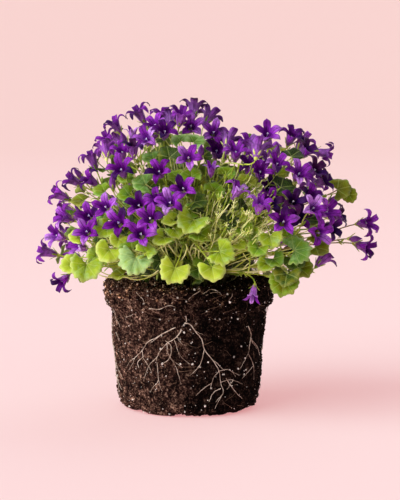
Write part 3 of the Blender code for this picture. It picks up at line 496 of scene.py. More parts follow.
def ring_points(
    centre: Vector, u: Vector, v: Vector, radius: float, count: int, turn: float = 0.0
) -> list[Vector]:
    """Return points evenly round a centre."""
    return [
        centre + (u * math.cos(turn + math.tau * k / count)
                  + v * math.sin(turn + math.tau * k / count)) * radius
        for k in range(count)
    ]


def bridge(low: int, low_count: int, high: int, high_count: int) -> list[tuple[int, ...]]:
    """Return the triangles between two rings of points given by their first index and count."""
    faces, i, j = [], 0, 0
    while i < low_count or j < high_count:
        a, b = low + i % low_count, high + j % high_count
        if j == high_count or (i < low_count and (i + 1) / low_count <= (j + 1) / high_count):
            faces.append((a, low + (i + 1) % low_count, b))
            i += 1
        else:
            faces.append((a, high + (j + 1) % high_count, b))
            j += 1
    return faces


class PlainForms:
    """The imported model's plain forms, rebuilt to keep its layout."""

    @staticmethod
    def stalk(path: list[Vector], u: Vector, radius: float) -> tuple[list, list]:
        """Return three-sided rings along a path that starts at a bloom or leaf, with faces."""
        points, faces = [], []
        for index in range(1, len(path)):
            ahead = path[min(index + 1, len(path) - 1)]
            way = (path[index - 1] - ahead).normalized()
            u = (u - way * u.dot(way)).normalized()
            thick = radius
            if len(path) > 5:
                thick += (STEM_RADIUS - radius) * index / (len(path) - 1)
            points += ring_points(path[index], u, way.cross(u), thick, 3)
            base = 3 * index
            faces += [tuple(reversed(face)) for face in bridge(base - 3, 3, base, 3)]
        last = 3 * (len(path) - 1)
        faces.append((last, last + 2, last + 1))
        return points, faces

    @classmethod
    def bloom(cls, foot: Vector, axis: Vector, roll: float, path: list | None = None) -> Solid:
        """Return an open bell with five pointed lobes, with its stalk if a path is given."""
        first, second = square_axes(axis)
        u = first * math.cos(roll) + second * math.sin(roll)
        v = axis.cross(u)
        points = ring_points(foot, u, v, 1.35, 3)
        faces: list[tuple[int, ...]] = [(2, 1, 0)]
        if path:
            more, faces = cls.stalk(path, u, STALK_RADIUS)
            points += more
        base = len(points)
        half = math.pi / 5
        points += ring_points(foot + axis * 8.6, u, v, 3.7, 5)
        points += ring_points(foot + axis * 13.4, u, v, 10.8, 5)
        points += ring_points(foot + axis * 11.9, u, v, 4.9, 5, half)
        points += ring_points(foot + axis * 14.2, u, v, 10.5, 5)
        points += ring_points(foot + axis * 12.8, u, v, 4.6, 5, half)
        points.append(foot + axis * 9.6)
        faces = faces + bridge(0, 3, base, 5)
        for k in range(5):
            n, b = (k + 1) % 5, (k + 4) % 5
            throat, tip, dip, tip_in, dip_in = (base + 5 * row for row in range(5))
            faces += [(throat + k, dip + k, tip + k), (throat + k, tip + k, dip + b)]
            faces += [(throat + k, throat + n, dip + k)]
            faces += [(tip + k, dip + k, dip_in + k), (tip + k, dip_in + k, tip_in + k)]
            faces += [(dip + k, tip + n, tip_in + n), (dip + k, tip_in + n, dip_in + k)]
            faces += [(base + 25, tip_in + k, dip_in + k), (base + 25, dip_in + k, tip_in + n)]
        return Solid(points, faces)

    @classmethod
    def bud(cls, foot: Vector, axis: Vector, path: list | None = None) -> Solid:
        """Return a closed bud, with its stalk if a path is given."""
        u, v = square_axes(axis)
        points = ring_points(foot, u, v, 1.2, 3)
        faces: list[tuple[int, ...]] = [(2, 1, 0)]
        if path:
            more, faces = cls.stalk(path, u, STALK_RADIUS)
            points += more
        base = len(points)
        points += ring_points(foot + axis * 5.5, u, v, 2.3, 5)
        points += ring_points(foot + axis * 9.5, u, v, 1.6, 5)
        points.append(foot + axis * BUD_LENGTH)
        faces = faces + bridge(0, 3, base, 5) + bridge(base, 5, base + 5, 5)
        for k in range(5):
            faces.append((base + 5 + k, base + 5 + (k + 1) % 5, base + 10))
        return Solid(points, faces)

    @classmethod
    def leaf(
        cls, joint: Vector, tip: Vector, face: Vector, radius: float, path: list | None = None
    ) -> Solid:
        """Return a kidney-shaped blade with a scalloped edge, with its stalk if a path is given."""
        side = face.cross(tip).normalized()
        half = face * BLADE_THICKNESS / 2
        points = [joint + half - side * 0.6, joint - half, joint + half + side * 0.6]
        faces: list[tuple[int, ...]] = [(2, 1, 0)]
        if path:
            more, faces = cls.stalk(path, (face * 0.58 - side).normalized(), 0.65)
            points += more
        base = len(points)
        count = 13 if radius > BIG_BLADE else 9
        for index in range(count):
            angle = math.radians(-BLADE_SPREAD + 2.0 * BLADE_SPREAD * index / (count - 1))
            wide = radius * (0.83 if index % 2 else 1.0) * (1.0 - 0.1 * (angle / 2.2) ** 2)
            lift = radius * (0.14 * abs(math.sin(angle)) + (0.08 if index % 2 else 0.0))
            rim = joint + tip * (wide * math.cos(angle)) + side * (wide * math.sin(angle))
            points += [rim + face * lift + half, rim + face * lift - half]
        middle = count // 2
        for k in range(count - 1):
            a, b = base + 2 * k, base + 2 * k + 2
            faces += [(0 if k < middle else 2, a, b), (1, b + 1, a + 1)]
            faces += [(a, a + 1, b + 1), (a, b + 1, b)]
        last = base + 2 * (count - 1)
        faces += [(0, base + 2 * middle, 2)]
        faces += [(0, 1, base + 1), (0, base + 1, base)]
        faces += [(2, last, last + 1), (2, last + 1, 1)]
        return Solid(points, faces)

    @staticmethod
    def tube(path: list[Vector], start_radius: float, end_radius: float) -> Solid:
        """Return a closed three-sided tube along a path, tapering from one radius to the other."""
        points, faces = [], []
        way = (path[1] - path[0]).normalized()
        u, _ = square_axes(way)
        last = len(path) - 1
        for index, centre in enumerate(path):
            ahead = path[min(index + 1, last)]
            way = (ahead - path[max(index - 1, 0)]).normalized()
            u = (u - way * u.dot(way)).normalized()
            radius = start_radius + (end_radius - start_radius) * index / last
            points += ring_points(centre, u, way.cross(u), radius, 3)
            if index:
                faces += bridge(3 * index - 3, 3, 3 * index, 3)
        faces += [(0, 2, 1), (3 * last, 3 * last + 1, 3 * last + 2)]
        return Solid(points, faces)

    @classmethod
    def stub(cls, foot: Vector, axis: Vector) -> Solid:
        """Return the space kept free behind a bloom or leaf for its stalk."""
        return cls.tube([foot - axis * 9.0, foot - axis * 0.8], 1.1, 1.1)

    @staticmethod
    def guard() -> Solid:
        """Return a closed ring just outside the root ball, which keeps the plant off it."""
        profile = (
            (46.0, 84.0), (46.0, 88.7), (55.5, 89.3), (58.5, 86.5), (58.7, 71.0), (54.6, 68.0),
            (50.0, 10.0), (46.0, 10.0),
        )
        points, faces = [], []
        count = 28
        for radius, height in profile:
            points += ring_points(UP * height, RIGHT, BACKWARD, radius, count)
        for ring in range(len(profile)):
            faces += bridge(ring * count, count, (ring + 1) % len(profile) * count, count)
        return Solid(points, faces)


@dataclass(eq=False)
class Organ:
    """A bloom, bud or leaf and its place."""

    name: str
    kind: Kind
    number: int
    foot: Vector
    axis: Vector
    roll: float = 0.0
    tip: Vector | None = None
    face: Vector | None = None
    radius: float = 0.0

    def solid(self, path: list[Vector]) -> Solid:
        """Return the plain form of this organ with its stalk along a path."""
        if self.kind == Kind.LEAF:
            return PlainForms.leaf(self.foot, self.tip, self.face, self.radius, path)
        if self.kind == Kind.BUD:
            return PlainForms.bud(self.foot, self.axis, path)
        return PlainForms.bloom(self.foot, self.axis, self.roll, path)


@dataclass(eq=False)
class Growth:
    """A stem from its place in the soil, with the organs on it and the anchors of their stalks."""

    path: list[Vector]
    organs: list[Organ]
    solids: list[Solid]
    anchors: list[list[Vector]]


class Room:
    """Solids already placed, so that a new one can be kept clear of them."""

    def __init__(self) -> None:
        """Start with nothing placed."""
        self.solids: dict[str, Solid] = {}

    def clear(self, solid: Solid, ignore: tuple | set = (), gap: float = PLANT_GAP) -> bool:
        """Tell whether a solid keeps its gap to everything placed but the names to ignore."""
        return not any(
            solid.near(other, gap) for name, other in self.solids.items() if name not in ignore
        )


@dataclass
class Layout:
    """The plant's layout: where each bloom, bud and leaf is, and how its stalk runs."""

    seed: int = SEED
    bell_reach: float = 12.4
    bloom_count: int = 104
    back_leaves: int = 22
    spray_size: int = 3
    spray_count: int = 34
    shoot_size: int = 6
    shoot_count: int = 16
    group_reach: float = 46.0
    hole_gap: float = 5.2
    place_step: float = 2.0
    front_steps: int = 31
    back_steps: int = 9
    leaf_steps: int = 13
    leaf_tries: int = 24
    stem_tries: int = 120
    first_stalk_tries: int = 14
    more_stalk_tries: int = 40
    room: Room = field(default_factory=Room)
    heads: list[Organ] = field(default_factory=list)
    leaves: list[Organ] = field(default_factory=list)
    holes: list[Vector] = field(default_factory=list)
    unreached: list[Organ] = field(default_factory=list)
    greens: list[float] = field(default_factory=list)

    def grow(self) -> tuple[list[Growth], list[Growth]]:
        """Lay the whole plant out and return its flower sprays and its leafy shoots."""
        self.rng = random.Random(self.seed)
        self.room.solids["root_ball"] = PlainForms.guard()
        self.place_front_blooms()
        self.place_back_blooms()
        self.place_leaves()
        sprays = self.groups_of(self.heads, self.spray_size, self.spray_count)
        shoots = self.groups_of(self.leaves, self.shoot_size, self.shoot_count)
        sprays = self.grow_all(sprays, self.spray_count)
        shoots = self.grow_all(shoots, self.shoot_count)
        self.nod_heads()
        return sprays, shoots

    def nod_heads(self) -> None:
        """Turn each front bloom about its foot, as far as there is room, to show its side.

        A fine bell is shorter than the plain form's reach, so the same run across the front
        view means that it lies flatter.
        """
        for head in self.heads:
            if head.kind != Kind.BLOOM or head.number >= len(BLOOMS):
                continue
            x, z, foot_x, foot_z, _, facing, _ = BLOOMS[head.number]
            goal = turned(x - foot_x, z - foot_z, self.bell_reach, facing)
            for share in (1.0, 0.66, 0.33):
                axis = head.axis.lerp(goal, share).normalized()
                solid = PlainForms.bloom(head.foot, axis, head.roll)
                if self.room.clear(solid, {head.name}, 0.0):
                    head.axis = axis
                    break

    def place_along(
        self, start: Vector, step: Vector, count: int,
        make: Callable[[Vector], tuple[Solid, Solid]],
    ) -> tuple[Vector | None, Solid | None, Solid | None]:
        """Return the first clear place at steps along a direction, nearest the start first.

        Args:
            start: the place to try first.
            step: the way from one place to the next, tried to both sides.
            count: how many places to try.
            make: returns a solid and the stub of its stalk for a place.

        Returns:
            The place, the solid and the stub, or three times None.
        """
        for index in range(count):
            spot = start + step * ((index + 1) // 2 * (1 if index % 2 else -1))
            solid, stub = make(spot)
            if self.room.clear(solid) and self.room.clear(stub):
                return spot, solid, stub
        return None, None, None

    def keep(
        self, organs: list[Organ], kind: Kind, solid: Solid, stub: Solid, **place: object
    ) -> None:
        """Keep a placed bloom, bud or leaf and the space for its stalk."""
        name = f"{kind.name.lower()}_{len(organs)}"
        self.room.solids[name] = solid
        self.room.solids["stub_" + name] = stub
        organs.append(Organ(name, kind, len(organs), **place))

    def place_front_blooms(self) -> None:
        """Put every bloom and bud of the front view on the plant, shifting it only in depth."""
        for index, (x, z, foot_x, foot_z, depth, facing, _) in enumerate(BLOOMS):
            axis = turned(x - foot_x, z - foot_z, BLOOM_LENGTH, facing)
            mouth = on_surface(x, z) + INWARD * depth
            step = sight_line(x, z)[1] * self.place_step
            self.place_bloom(mouth, step, self.front_steps, axis, 1.1 * index)
        for x, z, foot_x, foot_z in BUDS:
            axis = turned(x - foot_x, z - foot_z, BUD_REACH, 1)

            def make(point: Vector, axis: Vector = axis) -> tuple[Solid, Solid]:
                """Return a bud and its stub for a place of its tip."""
                foot = point - axis * BUD_LENGTH
                return PlainForms.bud(foot, axis), PlainForms.stub(foot, axis)

            step = sight_line(x, z)[1] * self.place_step
            start = on_surface(x, z)
            spot, solid, stub = self.place_along(start, step, self.front_steps, make)
            if solid:
                foot = spot - axis * BUD_LENGTH
                self.keep(self.heads, Kind.BUD, solid, stub, foot=foot, axis=axis)

    def place_bloom(
        self, mouth: Vector, step: Vector, count: int, axis: Vector, roll: float
    ) -> None:
        """Put one bloom at the first clear place along a direction, if there is one."""
        def make(point: Vector) -> tuple[Solid, Solid]:
            """Return a bloom and its stub for a place of its mouth."""
            foot = point - axis * BLOOM_MOUTH
            return PlainForms.bloom(foot, axis, roll), PlainForms.stub(foot, axis)

        spot, solid, stub = self.place_along(mouth, step, count, make)
        if solid:
            foot = spot - axis * BLOOM_MOUTH
            self.keep(self.heads, Kind.BLOOM, solid, stub, foot=foot, axis=axis, roll=roll)

    @staticmethod
    def wild_direction(rng: random.Random, low_angle: float, high_angle: float) -> Vector:
        """Return a random direction from the crown, between two angles from straight up."""
        low, high = math.cos(math.radians(high_angle)), math.cos(math.radians(low_angle))
        z = rng.uniform(low, high)
        turn = rng.uniform(0.0, math.tau)
        flat = math.sqrt(1.0 - z * z)
        return Vector((flat * math.cos(turn), flat * math.sin(turn), z))

    def place_back_blooms(self) -> None:
        """Fill the sides and back with blooms, each as far as it can be from the others."""
        rng, tries = self.rng, 0
        while len(self.heads) < self.bloom_count + len(BUDS) and tries < 400:
            tries += 1
            best, best_room = None, 0.0
            for _ in range(14):
                way = self.wild_direction(rng, 12.0, 88.0)
                spot = CROWN + way * reach(way) * rng.uniform(0.92, 1.0)
                if spot.y < 12.0:
                    continue
                room = min(
                    (spot - head.foot - head.axis * BLOOM_MOUTH).length for head in self.heads
                )
                if room > best_room:
                    best, best_room = spot, room
            if best is None:
                continue
            outward = (best - CROWN).normalized()
            wobble = Vector(
                (rng.uniform(-0.5, 0.5), rng.uniform(-0.5, 0.5), rng.uniform(-0.3, 0.5))
            )
            axis = (outward + wobble).normalized()
            roll = rng.uniform(0.0, 6.0)
            self.place_bloom(best, outward * -self.place_step, self.back_steps, axis, roll)

    @staticmethod
    def leaf_ways(tip_angle: float, turn_up: float) -> tuple[Vector, Vector]:
        """Return the tip and face directions of a leaf given as in the front view."""
        turn_up = math.radians(turn_up)
        face = (UPWARD * math.sin(turn_up) - INWARD * math.cos(turn_up)).normalized()
        angle = math.radians(tip_angle)
        tip = RIGHT * math.cos(angle) + UPWARD * math.sin(angle)
        tip = (tip - face * tip.dot(face)).normalized()
        return tip, face

    def try_leaf(
        self, middle: Vector, step: Vector, tip: Vector, face: Vector, radius: float
    ) -> None:
        """Place one leaf at the first clear place, smaller or tilted if it has to be."""
        rng = self.rng
        for attempt in range(self.leaf_tries):
            size = radius * (1.0, 1.0, 1.0, 0.86, 0.86, 0.74)[attempt // 4]
            wobble = 0.0 if attempt == 0 else 0.35
            new_face = (face + spread(rng, wobble)).normalized()
            new_tip = (tip - new_face * tip.dot(new_face)).normalized()

            def make(
                point: Vector, t: Vector = new_tip, f: Vector = new_face, s: float = size
            ) -> tuple[Solid, Solid]:
                """Return a leaf and its stub for a place of its blade's middle."""
                joint = point - t * s * JOINT_SHARE
                stub = PlainForms.stub(joint, leaf_axis(t, f))
                return PlainForms.leaf(joint, t, f, s), stub

            spot, solid, stub = self.place_along(middle, step, self.leaf_steps, make)
            if solid:
                self.keep(
                    self.leaves, Kind.LEAF, solid, stub,
                    foot=spot - new_tip * size * JOINT_SHARE, axis=leaf_axis(new_tip, new_face),
                    tip=new_tip, face=new_face, radius=size,
                )
                return

    def place_leaves(self) -> None:
        """Put the leaves of the front view on the plant, then as dense a coat round the back."""
        for x, z, radius, tip_angle, turn_up, depth, green in LEAVES:
            tip, face = self.leaf_ways(tip_angle, turn_up)
            middle = on_surface(x, z) + INWARD * (depth + 2.0)
            self.try_leaf(middle, sight_line(x, z)[1] * self.place_step, tip, face, radius)
            self.greens += [green] * (len(self.leaves) - len(self.greens))
        rng, front, tries = self.rng, len(self.leaves), 0
        while len(self.leaves) < front + self.back_leaves and tries < 300:
            tries += 1
            skirt = len(self.leaves) % 2 == 0
            way = self.wild_direction(rng, *((78.0, 96.0) if skirt else (25.0, 80.0)))
            spot = CROWN + way * reach(way) * (rng.uniform(0.72, 0.98) if skirt else 0.86)
            near = min((spot - leaf.foot).length for leaf in self.leaves)
            if spot.y < 14.0 or near < 15.0:
                continue
            outward = Vector((way.x, way.y, 0.0)).normalized()
            lean = rng.uniform(0.3, 1.0)
            face = (outward + UP * lean).normalized()
            side = outward.cross(UP)
            tip = outward * 0.5 - UP + side * rng.uniform(-0.9, 0.9)
            if not skirt:
                tip = outward + side * rng.uniform(-1.0, 1.0)
            tip = (tip - face * tip.dot(face)).normalized()
            self.try_leaf(spot, way * -self.place_step, tip, face, rng.uniform(8.5, 12.0))

    def hole_place(self, direction: Vector) -> Vector:
        """Return a free place on the soil for a stem that leads in a direction."""
        rng = self.rng
        tilt = math.acos(max(-0.2, min(1.0, direction.z)))
        wide = math.sqrt((1.0 - math.cos(tilt)) / (1.0 - math.cos(math.radians(97.0))))
        radius = 5.0 + (STEM_ZONE - 5.0) * min(1.0, wide)
        turn = math.atan2(direction.y, direction.x)
        for attempt in range(300):
            wander = attempt * 0.045
            r = min(radius + rng.uniform(-wander, wander), STEM_ZONE + 6.0)
            a = turn + rng.uniform(-wander, wander) * 6.0 / max(r, 6.0)
            place = Vector((r * math.cos(a), r * math.sin(a), SOIL_TOP))
            if r > 3.0 and all((place - other).length > self.hole_gap for other in self.holes):
                self.holes.append(place)
                return place
        raise RuntimeError("no free place for a stem")

    def stem_anchors(self, hole: Vector, organ: Organ, attempt: int) -> list[Vector]:
        """Return the four anchors of a stem from the foot of its organ down to its hole."""
        rng, foot = self.rng, organ.foot
        height = max(foot.z - SOIL_TOP, 0.0)
        out = Vector((foot.x - hole.x, foot.y - hole.y, 0.0))
        lead = 14.0 if attempt == 0 else rng.uniform(8.0, 26.0)
        bend = 0.0 if attempt == 0 else min(16.0, 2.0 + attempt * 0.4)
        low = hole + out * 0.12 + UP * (10.0 + 0.5 * height)
        low += spread(rng, bend)
        return [foot, foot - organ.axis * lead, low, hole + UP * 2.0]

    def groups_of(self, items: list[Organ], size: int, count: int) -> list[list[Organ]]:
        """Split items into close groups of about one size, the hardest to reach first."""
        left = list(items)
        groups = []
        while left:
            wanted = math.ceil(len(left) / max(1, count - len(groups)))
            wanted = min(max(wanted, 1), size + 1)
            seed = max(left, key=lambda item: (item.foot - CROWN).length - item.foot.z)
            left.sort(key=lambda item: (item.foot - seed.foot).length)
            group = [
                item for item in left[:wanted]
                if (item.foot - seed.foot).length < self.group_reach
            ]
            groups.append(group)
            left = left[len(group):]
        return groups

    def grow_stem(self, group: list[Organ]) -> Growth | None:
        """Grow a stem from its own hole to one organ, with stalks to as many others as it can."""
        middle = sum((item.foot for item in group), Vector()) / len(group)
        hole = self.hole_place((middle - CROWN).normalized())
        best = None
        for attempt in range(self.stem_tries):
            leader = group[attempt % len(group)]
            anchors = self.stem_anchors(hole, leader, attempt // len(group))
            path = bezier(anchors, 5) + [hole - UP * (HOLE_DEPTH - 0.6)]
            solid = leader.solid(path)
            if solid.crosses_itself():
                continue
            if not self.room.clear(solid, {leader.name, "stub_" + leader.name}):
                continue
            growth = Growth(path, [leader], [solid], [anchors])
            for item in group:
                if item is not leader:
                    self.add_stalk(growth, item, self.first_stalk_tries)
            if best is None or len(growth.organs) > len(best.organs):
                best = growth
            if len(best.organs) == len(group):
                break
        if best is None:
            self.holes.remove(hole)
        return best

    def add_stalk(self, growth: Growth, item: Organ, tries: int) -> bool:
        """Grow a stalk from a growth's stem to one more organ; tell whether there was room."""
        rng, path, foot = self.rng, growth.path, item.foot
        for attempt in range(tries):
            at = rng.randint(1, 3) if item.kind != Kind.LEAF else rng.randint(1, 4)
            way = (path[at - 1] - path[at + 1]).normalized()
            start = path[at].lerp(path[at + 1], rng.uniform(0.2, 0.8))
            span = (foot - start).length
            lead = rng.uniform(0.2, 0.6)
            bend = min(9.0, attempt * 0.4)
            first = start + way * span * lead * 0.7
            first += spread(rng, bend)
            second = foot - item.axis * max(span * lead, 5.0)
            anchors = [foot, second, first, start]
            solid = item.solid(bezier(anchors, 3 if span > 19.0 else 2))
            if solid.crosses_itself():
                continue
            if self.room.clear(solid, {item.name, "stub_" + item.name}):
                growth.organs.append(item)
                growth.solids.append(solid)
                growth.anchors.append(anchors)
                return True
        return False

    def settle(self, growth: Growth, first: int = 0) -> None:
        """Keep the organs of a growth on their stalks, in place of their stubs."""
        for item, solid in list(zip(growth.organs, growth.solids))[first:]:
            self.room.solids.pop("stub_" + item.name)
            self.room.solids[item.name] = solid

    def grow_all(self, groups: list[list[Organ]], limit: int) -> list[Growth]:
        """Grow a stem for each group; what one can't reach goes to the nearest others."""
        grown: list[Growth] = []
        left = self.grow_round(groups, grown)
        left = self.share_out(left, grown)
        while left and len(grown) < limit:
            more = self.groups_of(left, 3, limit - len(grown))[:limit - len(grown)]
            reached = len(grown)
            left = self.grow_round(more, grown) + [
                item for item in left if not any(item in group for group in more)
            ]
            left = self.share_out(left, grown)
            if len(grown) == reached:
                break
        for item in left:
            del self.room.solids[item.name]
            del self.room.solids["stub_" + item.name]
        self.unreached += left
        grown.sort(key=lambda g: (round(g.path[-1].y), round(g.path[-1].x)))
        return grown

    def grow_round(self, groups: list[list[Organ]], grown: list[Growth]) -> list[Organ]:
        """Grow one stem for each group and return the organs that stay unreached."""
        left = []
        for group in groups:
            growth = self.grow_stem(group)
            if growth:
                self.settle(growth)
                grown.append(growth)
            left += [item for item in group if not growth or item not in growth.organs]
        return left

    def share_out(self, items: list[Organ], grown: list[Growth]) -> list[Organ]:
        """Give organs to the nearest growths that can reach them and return the rest."""
        left = []
        for item in items:
            grown.sort(key=lambda g: min((p - item.foot).length for p in g.path[:5]))
            for growth in grown[:10]:
                if self.add_stalk(growth, item, self.more_stalk_tries):
                    self.settle(growth, len(growth.organs) - 1)
                    break
            else:
                left.append(item)
        return left


@dataclass(frozen=True)
class PetalSkin:
    """Petal: a thin velvety skin, deep violet inside and paler outside, with fine veins.

    A soft sheen lies on the lobes, a dark line runs up the middle of each and light glows
    through a little.
    """

    tints: tuple[tuple[float, str], ...] = (
        (0.0, "#3C0840"), (0.08, "#1E0446"), (0.22, "#360252"), (0.45, "#660884"),
        (0.72, "#8E30B6"), (1.0, "#C492E6"),
    )
    outside: str = "#B070D2"
    vein: str = "#2E0440"
    sheen: str = "#D49CFF"
    vein_spacing: float = 0.9
    mottle_size: float = 3.0
    # How strong the lobes' painted light and shade is
    lobe_contrast: float = 0.44

    def build(self) -> bpy.types.Material:
        """Make the petal's material and return it."""
        material, tree, place = new_material("petal_velvet_skin")
        tint, lobe, outer = (
            add_node(tree, MARK, output="Fac", attribute_name=name)
            for name in ("tint", "lobe", "outside")
        )
        uv = add_node(tree, "ShaderNodeUVMap", uv_map="UVMap")
        x, y = add_node(tree, SPLIT, (uv,)).node.outputs[:2]
        # The lobes' painted light and shade differs at random, most of all at their tips
        painted_lobe_shading = add_node(tree, MATH, (lobe, y), operation="MULTIPLY")
        level = add_node(
            tree, MATH, (painted_lobe_shading, self.lobe_contrast, tint), operation="MULTIPLY_ADD",
            use_clamp=True,
        )
        base = add_ramp(tree, level, self.tints)
        # The outside is paler, most of all near the foot
        paler = add_node(tree, RANGE, (y, 0.15, 0.75, 0.7, 0.18))
        share = add_node(tree, MATH, (paler, outer), operation="MULTIPLY")
        walls = add_node(tree, MIX, {0: share, 6: base, 7: linear(self.outside)}, **BLEND)
        # Streaks along the petal and mottles vary its tone and paint crumpled light and shade
        long = add_node(tree, MAPPING, {0: uv, "Scale": (9.0, 1.3, 1.0)})
        shift = add_node(tree, VECTOR_MATH, (long, place), operation="ADD")
        streaks = add_node(tree, NOISE, {"Vector": shift, "Detail": 2.0})
        mottle = add_node(
            tree, NOISE, {"Vector": place, "Scale": 1000.0 / self.mottle_size, "Detail": 3.0}
        )
        both = add_node(tree, MATH, (mottle, streaks), operation="ADD")
        painted_light_and_shade = add_node(tree, RANGE, (both, 0.7, 1.3, 0.42, 1.85))
        mottled = add_node(tree, MIX, {0: 1.0, 6: walls, 7: painted_light_and_shade}, **TIMES)
        # A dark line runs up the lobe's middle, and fine veins slant off it
        middle = add_node(tree, MATH, (x, 0.5), operation="SUBTRACT")
        off = add_node(tree, MATH, (middle,), operation="ABSOLUTE")
        line = add_node(tree, RANGE, (off, 0.0, 0.09, 0.7, 0.0), interpolation_type="SMOOTHSTEP")
        slant = add_node(tree, MATH, (y, off), operation="SUBTRACT")
        waves = math.tau * BLOOM_LENGTH / self.vein_spacing
        many = add_node(tree, MATH, (slant, waves), operation="MULTIPLY")
        wave = add_node(tree, MATH, (many,), operation="SINE")
        faint = add_node(tree, RANGE, (wave, 0.4, 1.0, 0.0, 0.3))
        veins = add_node(tree, MATH, (line, faint), operation="MAXIMUM")
        return finished(material, {
            "Base Color": add_node(
                tree, MIX, {0: veins, 6: mottled, 7: linear(self.vein)}, **BLEND
            ),
            "Normal": add_node(
                tree, BUMP, {"Strength": 0.5, "Distance": 0.25 * MM, "Height": veins}, invert=True
            ),
            "Roughness": add_node(tree, RANGE, (mottle, 0.0, 1.0, 0.34, 0.56)),
            "Sheen Weight": 0.03, "Sheen Roughness": 0.4, "Sheen Tint": linear(self.sheen),
            "Specular IOR Level": 0.12, "Subsurface Weight": 0.2,
            "Subsurface Radius": (0.9, 0.3, 1.0), "Subsurface Scale": 0.8 * MM,
        })


@dataclass(frozen=True)
class StigmaSkin:
    """Style and stigma: a matt, waxy, nearly white thread, faintly lilac at its foot."""

    pale: str = "#E6DCF2"
    lilac: str = "#B894DA"

    def build(self) -> bpy.types.Material:
        """Make the style's material and return it."""
        material, tree, place = new_material("stigma_white_wax")
        noise = add_node(tree, NOISE, {"Vector": place, "Scale": 900.0, "Detail": 2.0})
        return finished(material, {
            "Base Color": add_ramp(tree, noise, ((0.35, self.lilac), (0.5, self.pale))),
            "Roughness": 0.6, "Subsurface Weight": 0.2, "Subsurface Scale": 0.5 * MM,
        })


@dataclass(frozen=True)
class LeafSkin:
    """Leaf: a satin, slightly blistered skin, from dark green of painted shade to bright
    yellow-green.

    Paler veins fan out from the stalk and the underside is milky.
    """

    greens: tuple[tuple[float, str], ...] = (
        (DEEP_SHADE, "#122602"), (SHADY, "#345404"), (OLIVE, "#7A7C04"), (FRESH, "#749A06"),
        (SAGE, "#5E8E34"), (MILKY, "#9EC47C"), (LIME, "#92B00A"), (BRIGHT, "#AEC42E"),
    )
    vein: str = "#CFE282"
    margin: str = "#E2ECAC"
    under: str = "#A2BA62"
    blister_size: float = 1.6

    def build(self) -> bpy.types.Material:
        """Make the leaf's material and return it."""
        material, tree, place = new_material("leaf_satin_skin")
        tint, below = (
            add_node(tree, MARK, output="Fac", attribute_name=name) for name in ("tint", "outside")
        )
        base = add_ramp(tree, patchy(tree, place, tint, 190.0, 0.1), self.greens)
        # The UVs hold the place round the blade and how far out it is
        uv = add_node(tree, "ShaderNodeUVMap", uv_map="UVMap")
        turn, out = add_node(tree, SPLIT, (uv,)).node.outputs[:2]
        fan = add_node(tree, MATH, (turn, SPANS_IN_UV), operation="MULTIPLY")
        off = add_node(tree, MATH, (fan, 0.5), operation="PINGPONG")
        width = add_node(tree, MATH, (off, out), operation="MULTIPLY")
        main = add_node(
            tree, RANGE, (width, 0.01, 0.05, 0.26, 0.0), interpolation_type="SMOOTHSTEP"
        )
        slant = add_node(tree, MATH, (width, -1.1, out), operation="MULTIPLY_ADD")
        many = add_node(tree, MATH, (slant, 44.0), operation="MULTIPLY")
        wave = add_node(tree, MATH, (many,), operation="SINE")
        side = add_node(tree, RANGE, (wave, 0.7, 1.0, 0.0, 0.12))
        lines = add_node(tree, MATH, (main, side), operation="MAXIMUM")
        # The heart is shaded and the rim of a light leaf is lit
        heart = add_node(tree, RANGE, (out, 0.0, 0.75, 0.62, 1.1))
        colour = add_node(tree, MIX, {0: 1.0, 6: base, 7: heart}, **TIMES)
        edge = add_node(tree, RANGE, (out, 0.7, 1.0, 0.0, 0.4))
        lit = add_node(tree, MATH, (edge, tint), operation="MULTIPLY")
        pale = add_node(tree, MATH, (below, 0.5), operation="MULTIPLY")
        for share, shade in ((lines, self.vein), (lit, self.margin), (pale, self.under)):
            colour = add_node(tree, MIX, {0: share, 6: colour, 7: linear(shade)}, **BLEND)
        cells = add_node(
            tree, NOISE, {"Vector": place, "Scale": 1000.0 / self.blister_size, "Detail": 2.0}
        )
        relief = add_node(tree, MATH, (cells, lines), operation="SUBTRACT")
        return finished(material, {
            "Base Color": colour,
            "Normal": add_node(
                tree, BUMP, {"Strength": 0.5, "Distance": 0.3 * MM, "Height": relief}
            ),
            "Roughness": add_node(tree, RANGE, (cells, 0.0, 1.0, 0.36, 0.6)),
            "Specular IOR Level": 0.2, "Subsurface Weight": 0.2,
            "Subsurface Radius": (0.6, 1.0, 0.2), "Subsurface Scale": 1.0 * MM,
        })


